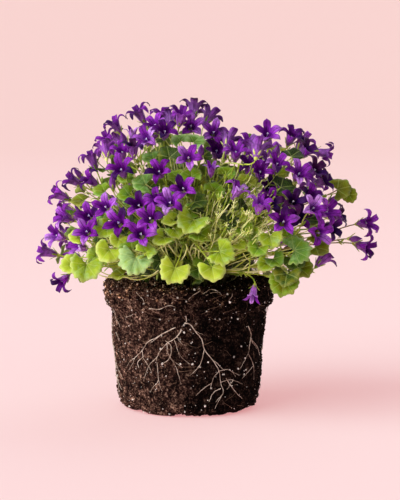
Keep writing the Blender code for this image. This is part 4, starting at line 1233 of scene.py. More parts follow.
@dataclass(frozen=True)
class StalkSkin:
    """Stalk: smooth, juicy and pale yellow-green, browner on the far ends, finely ridged.

    Where it leaves the soil it is painted dark, as the shade under the foliage.
    """

    greens: tuple[tuple[float, str], ...] = (
        (0.0, "#8A6A3C"), (0.2, "#A08A50"), (0.4, "#5E8612"), (0.7, "#BED040"),
        (1.0, "#F4F8AE"),
    )
    painted_foot_shade: str = "#1C160A"
    ridge_size: float = 0.5

    def build(self) -> bpy.types.Material:
        """Make the stalk's material and return it."""
        material, tree, place = new_material("stalk_juicy_skin")
        tint = add_node(tree, MARK, output="Fac", attribute_name="tint")
        colour = add_ramp(tree, patchy(tree, place, tint, 120.0, 0.16), self.greens)
        # The painted shade at the stems' foot fades upwards and towards the soil's rim
        height = add_node(tree, SPLIT, (place,), "Z")
        low = add_node(tree, RANGE, (height, 91.0 * MM, 108.0 * MM, 0.9, 0.0))
        flat = add_node(tree, VECTOR_MATH, (place, (1.0, 1.0, 0.0)), operation="MULTIPLY")
        away = add_node(tree, VECTOR_MATH, (flat,), operation="LENGTH")
        inside = add_node(tree, RANGE, (away, 40.0 * MM, 50.0 * MM, 1.0, 0.0))
        stain = add_node(tree, MATH, (low, inside), operation="MULTIPLY")
        ridges = add_node(tree, NOISE, {"Vector": place, "Scale": 1000.0 / self.ridge_size})
        return finished(material, {
            "Base Color": add_node(
                tree, MIX, {0: stain, 6: colour, 7: linear(self.painted_foot_shade)}, **BLEND
            ),
            "Normal": add_node(
                tree, BUMP, {"Strength": 0.3, "Distance": 0.1 * MM, "Height": ridges}
            ),
            "Roughness": 0.42, "Subsurface Weight": 0.25,
            "Subsurface Radius": (0.8, 1.0, 0.3), "Subsurface Scale": 0.8 * MM,
        })


@dataclass(frozen=True)
class SoilSkin:
    """Potting soil: matt, moist peat, nearly black in its pits and brown on its dry crumbs.

    Short pale fibres lie in it; its -X side has painted light and its +X side painted shade.
    """

    crumbs: tuple[tuple[float, str], ...] = (
        (0.34, "#030101"), (0.46, "#0C0504"), (0.55, "#231511"), (0.64, "#4B3930"),
        (0.74, "#877162"),
    )
    fibre: str = "#8C745F"
    crumb_size: float = 1.5
    patch_size: float = 5.5

    def build(self) -> bpy.types.Material:
        """Make the soil's material and return it."""
        material, tree, place = new_material("potting_soil_peat")
        spots = add_node(tree, NOISE, {
            "Vector": place, "Scale": 1000.0 / self.crumb_size, "Detail": 5.0, "Roughness": 0.7,
        })
        patches = add_node(
            tree, NOISE, {"Vector": place, "Scale": 1000.0 / self.patch_size, "Detail": 3.0}
        )
        blend = add_node(tree, MATH, (patches, 0.6, -0.3), operation="MULTIPLY_ADD")
        level = add_node(tree, MATH, (spots, blend), operation="ADD")
        base = add_ramp(tree, level, self.crumbs)
        # The edges of long slim cells are the fibres, which show on the lighter spots
        slim = add_node(
            tree, MAPPING, {0: place, "Rotation": (0.5, 0.7, 0.3), "Scale": (1.0, 1.0, 0.16)}
        )
        threads = add_node(
            tree, "ShaderNodeTexVoronoi", {"Vector": slim, "Scale": 330.0},
            feature="DISTANCE_TO_EDGE",
        )
        thin = add_node(tree, RANGE, (threads, 0.0, 0.035, 0.5, 0.0))
        some = add_node(tree, RANGE, (spots, 0.5, 0.62))
        fibres = add_node(tree, MATH, (thin, some), operation="MULTIPLY")
        colour = add_node(tree, MIX, {0: fibres, 6: base, 7: linear(self.fibre)}, **BLEND)
        # The colour is multiplied by painted light on the -X side and painted shade on the +X side
        return finished(material, {
            "Base Color": add_node(
                tree, MIX, {0: 1.0, 6: colour, 7: painted_side_shading(tree, place)}, **TIMES
            ),
            "Normal": add_node(
                tree, BUMP, {"Strength": 1.0, "Distance": 0.7 * MM, "Height": spots}
            ),
            "Roughness": 0.95, "Specular IOR Level": 0.05,
        })


@dataclass(frozen=True)
class GrainSkin:
    """Loose grains: matt and speckled, from one colour to another, in light and dark patches.

    Attributes:
        name: the material's name.
        colours: the colours of its speckles and their places on the ramp.
        speckle: the size of a speckle.
        dark: how bright the darkest patches are.
        patch_size: the size of a patch.
        gets_painted_side_shading: whether it is peat, painted lighter on its -X side and darker on
            its +X side.
    """

    name: str
    colours: tuple[tuple[float, str], ...]
    speckle: float = 0.6
    dark: float = 0.5
    patch_size: float = 5.5
    gets_painted_side_shading: bool = True

    def build(self) -> bpy.types.Material:
        """Make the grains' material and return it."""
        material, tree, place = new_material(self.name)
        patches, noise = (
            add_node(tree, NOISE, {"Vector": place, "Scale": 1000.0 / size, "Detail": 3.0})
            for size in (self.patch_size, self.speckle)
        )
        wet = add_node(tree, RANGE, (patches, 0.36, 0.64, self.dark, 1.32))
        colour = add_ramp(tree, noise, self.colours)
        # Peat also gets painted light on its -X side and painted shade on its +X side
        for factor in (wet, painted_side_shading(tree, place)) if self.gets_painted_side_shading else (wet,):
            colour = add_node(tree, MIX, {0: 1.0, 6: colour, 7: factor}, **TIMES)
        return finished(material, {
            "Base Color": colour,
            "Normal": add_node(
                tree, BUMP, {"Strength": 0.6, "Distance": 0.2 * MM, "Height": noise}
            ),
            "Roughness": 0.9, "Specular IOR Level": 0.06,
        })


@dataclass(frozen=True)
class RootSkin:
    """Root: a dry, pale tan skin, darker where it was rubbed or stained by soil."""

    name: str = "root_dry_skin"
    pale: str = "#DCD0C0"
    tan: str = "#B09A88"
    stain: str = "#665044"

    def build(self) -> bpy.types.Material:
        """Make the root's material and return it."""
        material, tree, place = new_material(self.name)
        noise = add_node(tree, NOISE, {"Vector": place, "Scale": 260.0, "Detail": 4.0})
        colours = ((0.3, self.stain), (0.45, self.tan), (0.6, self.pale))
        return finished(material, {
            "Base Color": add_ramp(tree, noise, colours),
            "Normal": add_node(
                tree, BUMP, {"Strength": 0.5, "Distance": 0.15 * MM, "Height": noise}
            ),
            "Roughness": 0.75,
        })


def new_material(name: str) -> tuple[bpy.types.Material, Tree, Socket]:
    """Return a new material, its tree and the place on the object that its patterns follow."""
    material = bpy.data.materials.new(name)
    material.use_nodes = True
    tree = material.node_tree
    return material, tree, add_node(tree, "ShaderNodeTexCoord", output="Object")


def finished(material: bpy.types.Material, inputs: dict) -> bpy.types.Material:
    """Fill the inputs of a material's main shader and return the material."""
    fill(material.node_tree.nodes["Principled BSDF"], inputs)
    return material


def add_ramp(tree: Tree, factor: Socket, stops: tuple[tuple[float, str], ...]) -> Socket:
    """Return the colour that a factor has on a ramp.

    Args:
        tree: the tree that gets the ramp.
        factor: the place on the ramp.
        stops: the ramp's places and hex colours.

    Returns:
        The colour.
    """
    colour = add_node(tree, "ShaderNodeValToRGB", (factor,))
    elements = colour.node.color_ramp.elements
    while len(elements) < len(stops):
        elements.new(1.0)
    for element, (place, shade) in zip(elements, stops):
        element.position = place
        element.color = linear(shade)
    return colour


def patchy(tree: Tree, place: Socket, tint: Socket, scale: float, most: float) -> Socket:
    """Return a tint that is shifted from patch to patch.

    Args:
        tree: the tree that gets the nodes.
        place: the coordinates of the surface.
        tint: the tint to shift.
        scale: how many patches lie along a metre.
        most: the greatest shift up or down.

    Returns:
        The shifted tint.
    """
    patches = add_node(tree, NOISE, {"Vector": place, "Scale": scale, "Detail": 3.0})
    shift = add_node(tree, RANGE, (patches, 0.3, 0.7, -most, most))
    return add_node(tree, MATH, (tint, shift), operation="ADD", use_clamp=True)


def painted_side_shading(tree: Tree, place: Socket) -> Socket:
    """Return the soil's painted light and shade: lighter on its -X side and darker on its +X side.

    Args:
        tree: the tree that gets the nodes.
        place: the coordinates of the surface.

    Returns:
        The factor for the soil's colour.
    """
    noise = add_node(tree, NOISE, {"Vector": place, "Scale": 55.0, "Detail": 2.0})
    x = add_node(tree, SPLIT, (place,))
    edge = add_node(tree, MATH, (noise, 36.0 * MM, x), operation="MULTIPLY_ADD")
    return add_node(tree, RANGE, (edge, -20.0 * MM, 32.0 * MM, 3.3, 0.46))


class FineMesh:
    """A mesh under construction in millimetres, with UVs and a mark for its outer side."""

    def __init__(self) -> None:
        """Start an empty mesh."""
        self.work = bmesh.new()
        self.uv = self.work.loops.layers.uv.new("UVMap")
        self.outside = self.work.verts.layers.float.new("outside")
        # Each lobe's painted light and shade
        self.lobe = self.work.verts.layers.float.new("lobe")

    def sheet(
        self, inner: list[list[Vector]], outer: list[list[Vector]], uvs: list[list[tuple]],
        lobe: float = 0.0,
    ) -> None:
        """Add a closed thin sheet from a grid of points on each side.

        Args:
            inner: rows of points on the inner or upper side.
            outer: rows of points on the other side, as many.
            uvs: a pair of coordinates for each point.
            lobe: its painted light and shade, how much lighter than its neighbours, from -1 to 1.
        """
        sides = []
        for mark, grid in ((0.0, inner), (1.0, outer)):
            rows = [[self.work.verts.new(point) for point in row] for row in grid]
            for row in rows:
                for vertex in row:
                    vertex[self.outside] = mark
                    vertex[self.lobe] = lobe
            sides.append(rows)
        top, bottom = sides
        last_row, last = len(top) - 1, len(top[0]) - 1
        for j in range(last_row):
            for i in range(last):
                spots = [(j, i), (j, i + 1), (j + 1, i + 1), (j + 1, i)]
                self.face(top, spots, uvs)
                self.face(bottom, spots[::-1], uvs)
        edge = [(0, i) for i in range(last)] + [(j, last) for j in range(last_row)]
        edge += [(last_row, i) for i in range(last, 0, -1)]
        edge += [(j, 0) for j in range(last_row, 0, -1)]
        for (j, i), (m, n) in zip(edge, edge[1:] + edge[:1]):
            corners = [top[m][n], top[j][i], bottom[j][i], bottom[m][n]]
            face = self.work.faces.new(corners)
            for loop, (a, b) in zip(face.loops, ((m, n), (j, i), (j, i), (m, n))):
                loop[self.uv].uv = uvs[a][b]

    def face(self, rows: list[list], spots: list[tuple[int, int]], uvs: list[list[tuple]]) -> None:
        """Add one face of a grid with its UVs."""
        face = self.work.faces.new([rows[j][i] for j, i in spots])
        for loop, (j, i) in zip(face.loops, spots):
            loop[self.uv].uv = uvs[j][i]

    def turned_form(self, profile: list[tuple[float, float]], sides: int) -> None:
        """Add a closed round form from pairs of height and radius, from its foot to its tip."""
        rows = []
        for height, radius in profile:
            ring = ring_points(UP * height, RIGHT, BACKWARD, radius, sides)
            rows.append([self.work.verts.new(point) for point in ring])
        for row in rows:
            for vertex in row:
                vertex[self.outside] = 1.0
        for j, (low, high) in enumerate(zip(rows, rows[1:])):
            for i in range(sides):
                n = (i + 1) % sides
                face = self.work.faces.new([low[i], low[n], high[n], high[i]])
                corners = ((j, i), (j, i + 1), (j + 1, i + 1), (j + 1, i))
                for loop, (a, b) in zip(face.loops, corners):
                    loop[self.uv].uv = (0.2 + 0.6 * (b % 2), a / (len(rows) - 1))
        self.work.faces.new(rows[0][::-1])
        self.work.faces.new(rows[-1])

    def finish(self, name: str, merge: float = 0.002) -> bpy.types.Object:
        """Merge the seams, point the faces outwards and return the form as an object."""
        bmesh.ops.remove_doubles(self.work, verts=self.work.verts, dist=merge)
        bmesh.ops.recalc_face_normals(self.work, faces=self.work.faces)
        for face in self.work.faces:
            face.smooth = True
        mesh = bpy.data.meshes.new(name)
        self.work.to_mesh(mesh)
        self.work.free()
        return bpy.data.objects.new(name, mesh)


@dataclass(frozen=True)
class Corolla:
    """A bell of five pointed lobes, as heights and radii along the middle of a lobe.

    Attributes:
        name: what this form is called.
        middle: pairs of height and radius from the foot to the lobe's tip.
        cut: the pair, counted from the first, where neighbouring lobes part.
        swell: how much a lobe widens past the cut.
        point: how early a lobe tapers to its tip; a small one gives a blunt lobe.
        thickness: of the petal.
    """

    name: str
    middle: tuple[tuple[float, float], ...]
    cut: int
    swell: float = 0.9
    point: float = 0.8
    thickness: float = 0.28
    tube_rows: int = 4
    lobe_rows: int = 7
    across: int = 4

    def spot(self, s: float, x: float, bend: float, twist: float) -> Vector:
        """Return a point of a lobe that lies along +X.

        Args:
            s: the place along the middle, in pairs of the profile.
            x: the place across, from -1 to 1.
            bend: how far this lobe's tip bends back.
            twist: how far this lobe's tip leans sideways.
        """
        line = [Vector((r, 0.0, z)) for z, r in self.middle]
        smooth = through(line, 8)
        place = min(max(s, 0.0), len(self.middle) - 1.0) * 8
        low = min(int(place), len(smooth) - 2)
        centre = smooth[low].lerp(smooth[low + 1], place - low)
        way = (smooth[low + 1] - smooth[low]).normalized()
        inward = Vector((-way.z, 0.0, way.x))
        fifth = math.pi / 5 * x
        if s <= self.cut:
            ridge = 1.0 + 0.09 * (math.cos(math.pi * x) - 1.0) * s / self.cut
            return Vector(
                (centre.x * ridge * math.cos(fifth), centre.x * ridge * math.sin(fifth), centre.z)
            )
        t = (s - self.cut) / (len(self.middle) - 1.0 - self.cut)
        cut_radius = self.middle[self.cut][1] * (1.0 - 0.18 * abs(x) * (1.0 - t) ** 3)
        half = cut_radius * math.sin(math.pi / 5) * (1.0 + self.swell * t)
        half *= max(1.0 - t, 0.0) ** self.point
        cup = cut_radius * (1.0 - math.cos(fifth)) * (1.0 - 1.7 * t)
        cup -= 0.55 * (1.0 - abs(x)) * t ** 0.5 * (1.0 - t)
        side = half * math.sin(fifth) / math.sin(math.pi / 5) + twist * t * t
        return centre + inward * cup + Vector((0.35 * bend * t * t, side, -bend * t * t))

    def build(self, number: int, rng: random.Random) -> bpy.types.Object:
        """Build one variant of this form.

        Args:
            number: the variant's place among all forms.
            rng: draws each lobe's bend and twist.

        Returns:
            The form, in millimetres, with its foot at the origin and its mouth up.
        """
        mesh = FineMesh()
        last = len(self.middle) - 1.0
        rows = [self.cut * j / self.tube_rows for j in range(self.tube_rows)]
        rows += [
            self.cut + (last - self.cut) * j / self.lobe_rows for j in range(self.lobe_rows + 1)
        ]
        places = [2.0 * i / self.across - 1.0 for i in range(self.across + 1)]
        for lobe in range(5):
            turn = Matrix.Rotation(math.tau * lobe / 5, 3, "Z")
            bend, twist = rng.uniform(-1.1, 2.2), rng.uniform(-1.4, 1.4)
            # This lobe's painted light and shade
            light = rng.uniform(-1, 1)
            inner, outer, uvs = [], [], []
            for s in rows:
                inner.append([])
                outer.append([])
                uvs.append([])
                for x in places:
                    point = self.spot(s, x, bend, twist)
                    along = self.spot(min(s + 0.05, last), x, bend, twist)
                    along -= self.spot(max(s - 0.05, 0.0), x, bend, twist)
                    beside = self.spot(s, x + 0.05, bend, twist)
                    beside -= self.spot(s, x - 0.05, bend, twist)
                    normal = along.cross(beside)
                    if normal.length < 1e-6:
                        normal = UP
                    thin = self.thickness * (1.0 if s < last - 0.4 else 0.4)
                    inner[-1].append(turn @ point)
                    push = normal.normalized() * thin * self.facing(normal, s)
                    outer[-1].append(turn @ (point - push))
                    uvs[-1].append((0.5 + 0.5 * x, s / last))
            mesh.sheet(inner, outer, uvs, light)
        return mesh.finish(f"bell_{number:02d}_{self.name}", 0.02)

    def facing(self, normal: Vector, s: float) -> float:
        """Return 1 if a normal points into the bell, and -1 if it points out of it."""
        if s <= self.cut:
            return -1.0 if normal.x > 0.0 else 1.0
        low = Vector((self.middle[self.cut][1], 0.0, self.middle[self.cut][0]))
        high = Vector((self.middle[-1][1], 0.0, self.middle[-1][0]))
        way = high - low
        return 1.0 if normal.dot(Vector((-way.z, 0.0, way.x))) > 0.0 else -1.0


COROLLAS = (
    Corolla("star", ((0, 0.9), (2, 2.0), (5, 3.0), (8.4, 3.9), (11.0, 5.6), (12.5, 7.5),
                     (13.2, 9.4), (12.9, 11.5)), 4, 1.15, 0.98),
    Corolla("bell", ((0, 0.9), (2, 2.0), (5, 3.1), (8.6, 3.8), (11.7, 5.3), (13.4, 6.9),
                     (13.9, 8.8), (13.1, 10.4), (11.9, 11.5)), 4, 1.0, 0.96),
    Corolla("curled", ((0, 0.8), (2, 1.7), (5, 2.7), (8.8, 3.4), (12.2, 4.6), (14.0, 6.1),
                       (14.7, 7.9), (13.9, 9.7), (12.1, 10.5), (10.6, 10.2)), 4, 0.8, 0.9),
    Corolla("slim", ((0, 0.8), (2, 1.7), (5, 2.4), (8.6, 2.9), (11.2, 3.4), (13.6, 4.2),
                     (15.4, 5.6), (16.0, 7.4)), 4, 0.4, 0.75),
    Corolla("wide", ((0, 1.0), (2, 2.2), (5, 3.4), (8.6, 4.4), (11.2, 6.0), (13.2, 8.4),
                     (13.7, 10.9), (12.3, 12.9)), 4, 1.2, 0.9),
)
VARIANTS = 3
BUD_FORM = len(COROLLAS) * VARIANTS


@dataclass(frozen=True)
class Parts:
    """The small forms that are repeated over the plant, built once each."""

    sepal_length: float = 6.0
    sepal_width: float = 1.5
    sepal_lean: float = 0.42
    style_length: float = 9.0
    bud_length: float = BUD_LENGTH
    blade_thickness: float = 0.035

    def bells(self, rng: random.Random) -> bpy.types.Collection:
        """Build the variants of each corolla, and the bud, in one collection."""
        made = []
        for corolla in COROLLAS:
            for _ in range(VARIANTS):
                made.append(corolla.build(len(made), rng))
        made.append(self.bud(len(made)))
        return self.collection("bell_forms", made)

    def bud(self, number: int) -> bpy.types.Object:
        """Build a closed bud: five folded lobes that twist to a point."""
        mesh = FineMesh()
        profile = [
            (0.0, 0.8), (1.5, 1.7), (3.5, 2.2), (5.5, 2.3), (7.5, 2.0), (9.3, 1.4), (11.2, 0.7),
            (self.bud_length, 0.12),
        ]
        mesh.turned_form(profile, 10)
        for vertex in mesh.work.verts:
            turn = 0.09 * vertex.co.z
            radius = math.hypot(vertex.co.x, vertex.co.y)
            angle = math.atan2(vertex.co.y, vertex.co.x)
            radius *= 1.0 + 0.12 * math.cos(5 * angle)
            vertex.co.x = radius * math.cos(angle + turn)
            vertex.co.y = radius * math.sin(angle + turn)
        return mesh.finish(f"bell_{number:02d}_bud")

    def ribbon(
        self, mesh: FineMesh, path: list[Vector], side: Vector, half: float, thick: float,
        power: float = 0.6,
    ) -> None:
        """Add a narrow pointed blade along a path.

        Args:
            mesh: the mesh that gets the blade.
            path: points along the blade's middle.
            side: the direction across it.
            half: half of its greatest width.
            thick: its thickness.
            power: how soon it comes to its point.
        """
        inner, outer, uvs = [], [], []
        last = len(path) - 1
        for j, point in enumerate(path):
            t = j / last
            way = (path[min(j + 1, last)] - path[max(j - 1, 0)]).normalized()
            normal = side.cross(way).normalized()
            reach_out = half * (0.55 + 1.1 * t) * max(1.0 - t * t, 0.003) ** power
            inner.append([])
            outer.append([])
            uvs.append([])
            for x in (-1.0, 0.0, 1.0):
                spot = point + side * (reach_out * x) + normal * (0.25 * reach_out * abs(x))
                inner[-1].append(spot + normal * thick / 2)
                outer[-1].append(spot - normal * thick / 2)
                uvs[-1].append((0.5 + 0.5 * x, t))
        mesh.sheet(inner, outer, uvs)

    def calyx(self) -> bpy.types.Collection:
        """Build the green cup under a bloom with its five pointed sepals."""
        mesh = FineMesh()
        mesh.turned_form([(-1.8, 0.45), (-0.9, 1.0), (0.3, 1.5), (1.5, 1.7), (2.2, 1.3)], 10)
        for lobe in range(5):
            angle = math.tau * (lobe + 0.5) / 5
            out = Vector((math.cos(angle), math.sin(angle), 0.0))
            side = Vector((-out.y, out.x, 0.0))
            path = []
            for j in range(5):
                t = j / 4
                lean = self.sepal_lean * (1.0 + 0.5 * t)
                path.append(
                    out * (1.35 + self.sepal_length * t * math.sin(lean))
                    + UP * (0.9 + self.sepal_length * t * math.cos(lean))
                )
            self.ribbon(mesh, path, side, self.sepal_width / 2, 0.22)
        return self.collection("calyx_forms", [mesh.finish("calyx_00")])

    def styles(self) -> bpy.types.Collection:
        """Build the style with its three curled stigma lobes."""
        mesh = FineMesh()
        top = self.style_length
        profile = [(1.0, 0.5), (4.0, 0.3), (top - 1.0, 0.32), (top, 0.5)]
        mesh.turned_form(profile, 6)
        for lobe in range(3):
            angle = math.tau * lobe / 3 + 0.4
            out = Vector((math.cos(angle), math.sin(angle), 0.0))
            side = Vector((-out.y, out.x, 0.0))
            path = [
                UP * (top - 0.4), UP * (top + 0.3) + out * 0.3, UP * (top + 0.5) + out * 0.6,
                UP * (top + 0.3) + out * 0.9,
            ]
            self.ribbon(mesh, path, side, 0.34, 0.3, 0.4)
        return self.collection("style_forms", [mesh.finish("style_00")])

    def blades(self, rng: random.Random) -> bpy.types.Collection:
        """Build leaf blades of radius 1: three with seven lobes, three with five, two plain."""
        made = []
        for lobes, steps, rings in ((6, 12, 4),) * 3 + ((4, 12, 4),) * 3 + ((4, 6, 2),) * 2:
            made.append(self.blade(f"blade_{len(made):02d}", lobes, steps, rings, rng))
        return self.collection("blade_forms", made)

    def blade(
        self, name: str, spans: int, steps: int, rings: int, rng: random.Random
    ) -> bpy.types.Object:
        """Build one kidney-shaped leaf blade.

        Args:
            name: the form's name.
            spans: how many spans lie between its lobes, one fewer than the lobes.
            steps: points along the rim of each span.
            rings: rings of faces from the stalk to the rim.
            rng: draws the blade's waves.

        Returns:
            The blade, of radius 1, with its joint at the origin, its tip along +X and its
            upper face up.
        """
        mesh = FineMesh()
        phase, wave = rng.uniform(0.0, 6.0), rng.uniform(0.04, 0.1)
        folds = (rng.uniform(0.08, 0.42), rng.uniform(0.08, 0.42))
        teeth = [rng.uniform(-0.1, 0.05) for _ in range(2 * spans + 2)]
        cut = rng.uniform(0.09, 0.16)
        inner, outer, uvs = [], [], []
        count = spans * steps
        for j in range(rings + 1):
            share = 0.03 + 0.97 * (j / rings) ** 0.85
            inner.append([])
            outer.append([])
            uvs.append([])
            for i in range(count + 1):
                angle = math.radians(-BLADE_SPREAD + 2.0 * BLADE_SPREAD * i / count)
                place = i / steps
                dip = 1.0 - abs(math.cos(math.pi * place))
                along = 1.8 * place + 0.1 * phase
                notch = abs(2.0 * (along % 1.0) - 1.0)
                rim = (1.03 - 0.05 * dip) * (1.0 - 0.1 * (angle / 2.2) ** 2)
                rim += (1.0 - notch) * teeth[int(along)] - cut * notch ** 1.6
                rim += 0.03 * math.sin(3.0 * angle + phase)
                edge = share ** 2.2
                radius = share * (1.0 + (rim - 1.0) * edge)
                fold = folds[angle > 0.0]
                lift = fold * abs(math.sin(angle)) * share + 0.08 * dip * share ** 2
                lift += wave * math.sin(4.0 * angle + phase) * share ** 2 - 0.12 * share ** 4
                spot = Vector((radius * math.cos(angle), radius * math.sin(angle), lift))
                inner[-1].append(spot + UP * self.blade_thickness / 2)
                outer[-1].append(spot - UP * self.blade_thickness / 2)
                uvs[-1].append((place / SPANS_IN_UV, share))
        mesh.sheet(inner, outer, uvs)
        return mesh.finish(name, 0.0005)

    def bracts(self) -> bpy.types.Collection:
        """Build the narrow small leaf that grows where stalks fork, 1 long."""
        mesh = FineMesh()
        path = [Vector((0.25 * j, 0.0, 0.12 * math.sin(2.6 * 0.25 * j))) for j in range(5)]
        self.ribbon(mesh, path, BACKWARD, 0.16, 0.04)
        return self.collection("bract_forms", [mesh.finish("bract_00", 0.0005)])

    @staticmethod
    def grains(name: str, rng: random.Random) -> bpy.types.Collection:
        """Build four angular grains of radius 1 in one collection."""
        made = []
        for number in range(4):
            work = bmesh.new()
            bmesh.ops.create_icosphere(work, subdivisions=1, radius=1.0)
            for vertex in work.verts:
                vertex.co *= rng.uniform(0.7, 1.15)
                vertex.co.z *= 0.8
            mesh = bpy.data.meshes.new(f"{name}_{number:02d}")
            work.to_mesh(mesh)
            work.free()
            made.append(bpy.data.objects.new(mesh.name, mesh))
        return Parts.collection(name, made)

    @staticmethod
    def collection(name: str, made: list[bpy.types.Object]) -> bpy.types.Collection:
        """Return a collection of its own that holds some forms."""
        group = bpy.data.collections.new(name)
        for thing in made:
            group.objects.link(thing)
        return group


@dataclass(frozen=True)
class Branch:
    """One kind of part that a planting tree sets on points."""

    label: str
    low: Kind
    high: Kind


def new_tree(name: str, kinds: dict[str, str]) -> tuple[Tree, bpy.types.NodeOutputs]:
    """Start a Geometry Nodes tree with named inputs.

    Args:
        name: the tree's name.
        kinds: the type of each input after the geometry, by name.

    Returns:
        The tree and the values of its inputs, the geometry first.
    """
    tree = bpy.data.node_groups.new(name, "GeometryNodeTree")
    for label, kind in {"Geometry": "Geometry", **kinds}.items():
        tree.interface.new_socket(label, in_out="INPUT", socket_type="NodeSocket" + kind)
    tree.interface.new_socket("Geometry", in_out="OUTPUT", socket_type="NodeSocketGeometry")
    return tree, tree.nodes.new("NodeGroupInput").outputs


def dressed(tree: Tree, mesh: Socket, finish: Socket) -> Socket:
    """Return a mesh with its copies made real and its finish set."""
    real = add_node(tree, "GeometryNodeRealizeInstances", (mesh,))
    return add_node(tree, "GeometryNodeSetMaterial", {0: real, "Material": finish})


class PlantingTree:
    """A Geometry Nodes tree that sets forms on points and draws stalks along lines."""

    def __init__(self, name: str, branches: tuple[Branch, ...], lines: bool) -> None:
        """Build the tree.

        Args:
            name: the tree's name.
            branches: the parts that it sets on points.
            lines: whether it draws stalks along the lines too.
        """
        kinds = {}
        for branch in branches:
            kinds[branch.label + " forms"] = "Collection"
            kinds[branch.label + " finish"] = "Material"
        if lines:
            kinds |= {"Stalk sides": "Int", "Stalk finish": "Material"}
        self.tree, self.start = new_tree(name, kinds)
        gather = self.tree.nodes.new("GeometryNodeJoinGeometry")
        for branch in branches:
            fill(gather, (self.set_forms(branch),))
        if lines:
            fill(gather, (self.draw_stalks(),))
        fill(self.tree.nodes.new("NodeGroupOutput"), (gather.outputs[0],))

    def named(self, name: str, kind: str) -> Socket:
        """Return the value of a named attribute."""
        return add_node(
            self.tree, "GeometryNodeInputNamedAttribute", {"Name": name}, data_type=kind
        )

    def set_forms(self, branch: Branch) -> Socket:
        """Set one branch's forms on its points and return them as a mesh."""
        kind = self.named("kind", "INT")
        tests = [
            add_node(self.tree, COMPARE, {2: kind, 3: int(limit)}, data_type="INT", operation=test)
            for test, limit in (("GREATER_EQUAL", branch.low), ("LESS_EQUAL", branch.high))
        ]
        forms = add_node(
            self.tree, "GeometryNodeCollectionInfo",
            {0: self.start[branch.label + " forms"], "Separate Children": True},
        )
        turn = self.named("turn", "FLOAT_VECTOR")
        copies = add_node(self.tree, "GeometryNodeInstanceOnPoints", {
            "Points": self.start[0], "Instance": forms, "Pick Instance": True,
            "Selection": add_node(self.tree, "FunctionNodeBooleanMath", tests, operation="AND"),
            "Instance Index": self.named(branch.label + "_form", "INT"),
            "Rotation": add_node(self.tree, "FunctionNodeEulerToRotation", (turn,)),
            "Scale": self.named("size", "FLOAT"),
        })
        return dressed(self.tree, copies, self.start[branch.label + " finish"])

    def draw_stalks(self) -> Socket:
        """Draw a tube along each line, as thick as its points say, and return the mesh."""
        lines = add_node(self.tree, "GeometryNodeMeshToCurve", (self.start[0],))
        ring = add_node(
            self.tree, "GeometryNodeCurvePrimitiveCircle",
            {"Resolution": self.start["Stalk sides"], "Radius": 1.0},
        )
        tubes = add_node(self.tree, "GeometryNodeCurveToMesh", {
            "Curve": lines, "Profile Curve": ring, "Scale": self.named("thick", "FLOAT"),
            "Fill Caps": True,
        })
        smooth = add_node(
            self.tree, "GeometryNodeSetShadeSmooth", {0: tubes, "Shade Smooth": True}
        )
        return dressed(self.tree, smooth, self.start["Stalk finish"])

    def apply(self, name: str, scaffold: Scaffold, inputs: dict) -> bpy.types.Object:
        """Plant a scaffold and return the result as a plain mesh object.

        Args:
            name: the new piece's name.
            scaffold: the points and lines.
            inputs: values for the tree's named inputs.

        Returns:
            The piece.
        """
        thing = bpy.data.objects.new(name, scaffold.mesh(name))
        return frozen(thing, self.tree, inputs)


def frozen(thing: bpy.types.Object, tree: bpy.types.NodeTree, inputs: dict) -> bpy.types.Object:
    """Run a Geometry Nodes tree on an object and keep the result as its plain mesh.

    Args:
        thing: the object, not yet in the scene.
        tree: the tree to run.
        inputs: values for the tree's named inputs.

    Returns:
        The same object.
    """
    bpy.context.scene.collection.objects.link(thing)
    modifier = thing.modifiers.new(tree.name, "NODES")
    modifier.node_group = tree
    for item in tree.interface.items_tree:
        if item.in_out == "INPUT" and item.name in inputs:
            modifier[item.identifier] = inputs[item.name]
    graph = bpy.context.evaluated_depsgraph_get()
    mesh = bpy.data.meshes.new_from_object(
        thing.evaluated_get(graph), preserve_all_data_layers=True, depsgraph=graph
    )
    old = thing.data
    thing.modifiers.clear()
    thing.data = mesh
    bpy.data.meshes.remove(old)
    mesh.name = thing.name
    slots = [polygon.material_index for polygon in mesh.polygons]
    used = sorted(set(slots))
    kept = [mesh.materials[slot] for slot in used]
    mesh.materials.clear()
    for material in kept:
        mesh.materials.append(material)
    mesh.polygons.foreach_set("material_index", [used.index(slot) for slot in slots])
    return thing


def hand_over(piece: bpy.types.Object, slot: str, *nodes: str) -> None:
    """Let a piece ride on the part and stand for its nodes."""
    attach(piece, "root")
    if nodes:
        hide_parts(*nodes)
    LOG.info("%s: %d faces", piece.name, len(piece.data.polygons))


def discard(forms: bpy.types.Collection) -> None:
    """Remove a collection and the forms in it."""
    for form in list(forms.objects):
        bpy.data.objects.remove(form)
    bpy.data.collections.remove(forms)


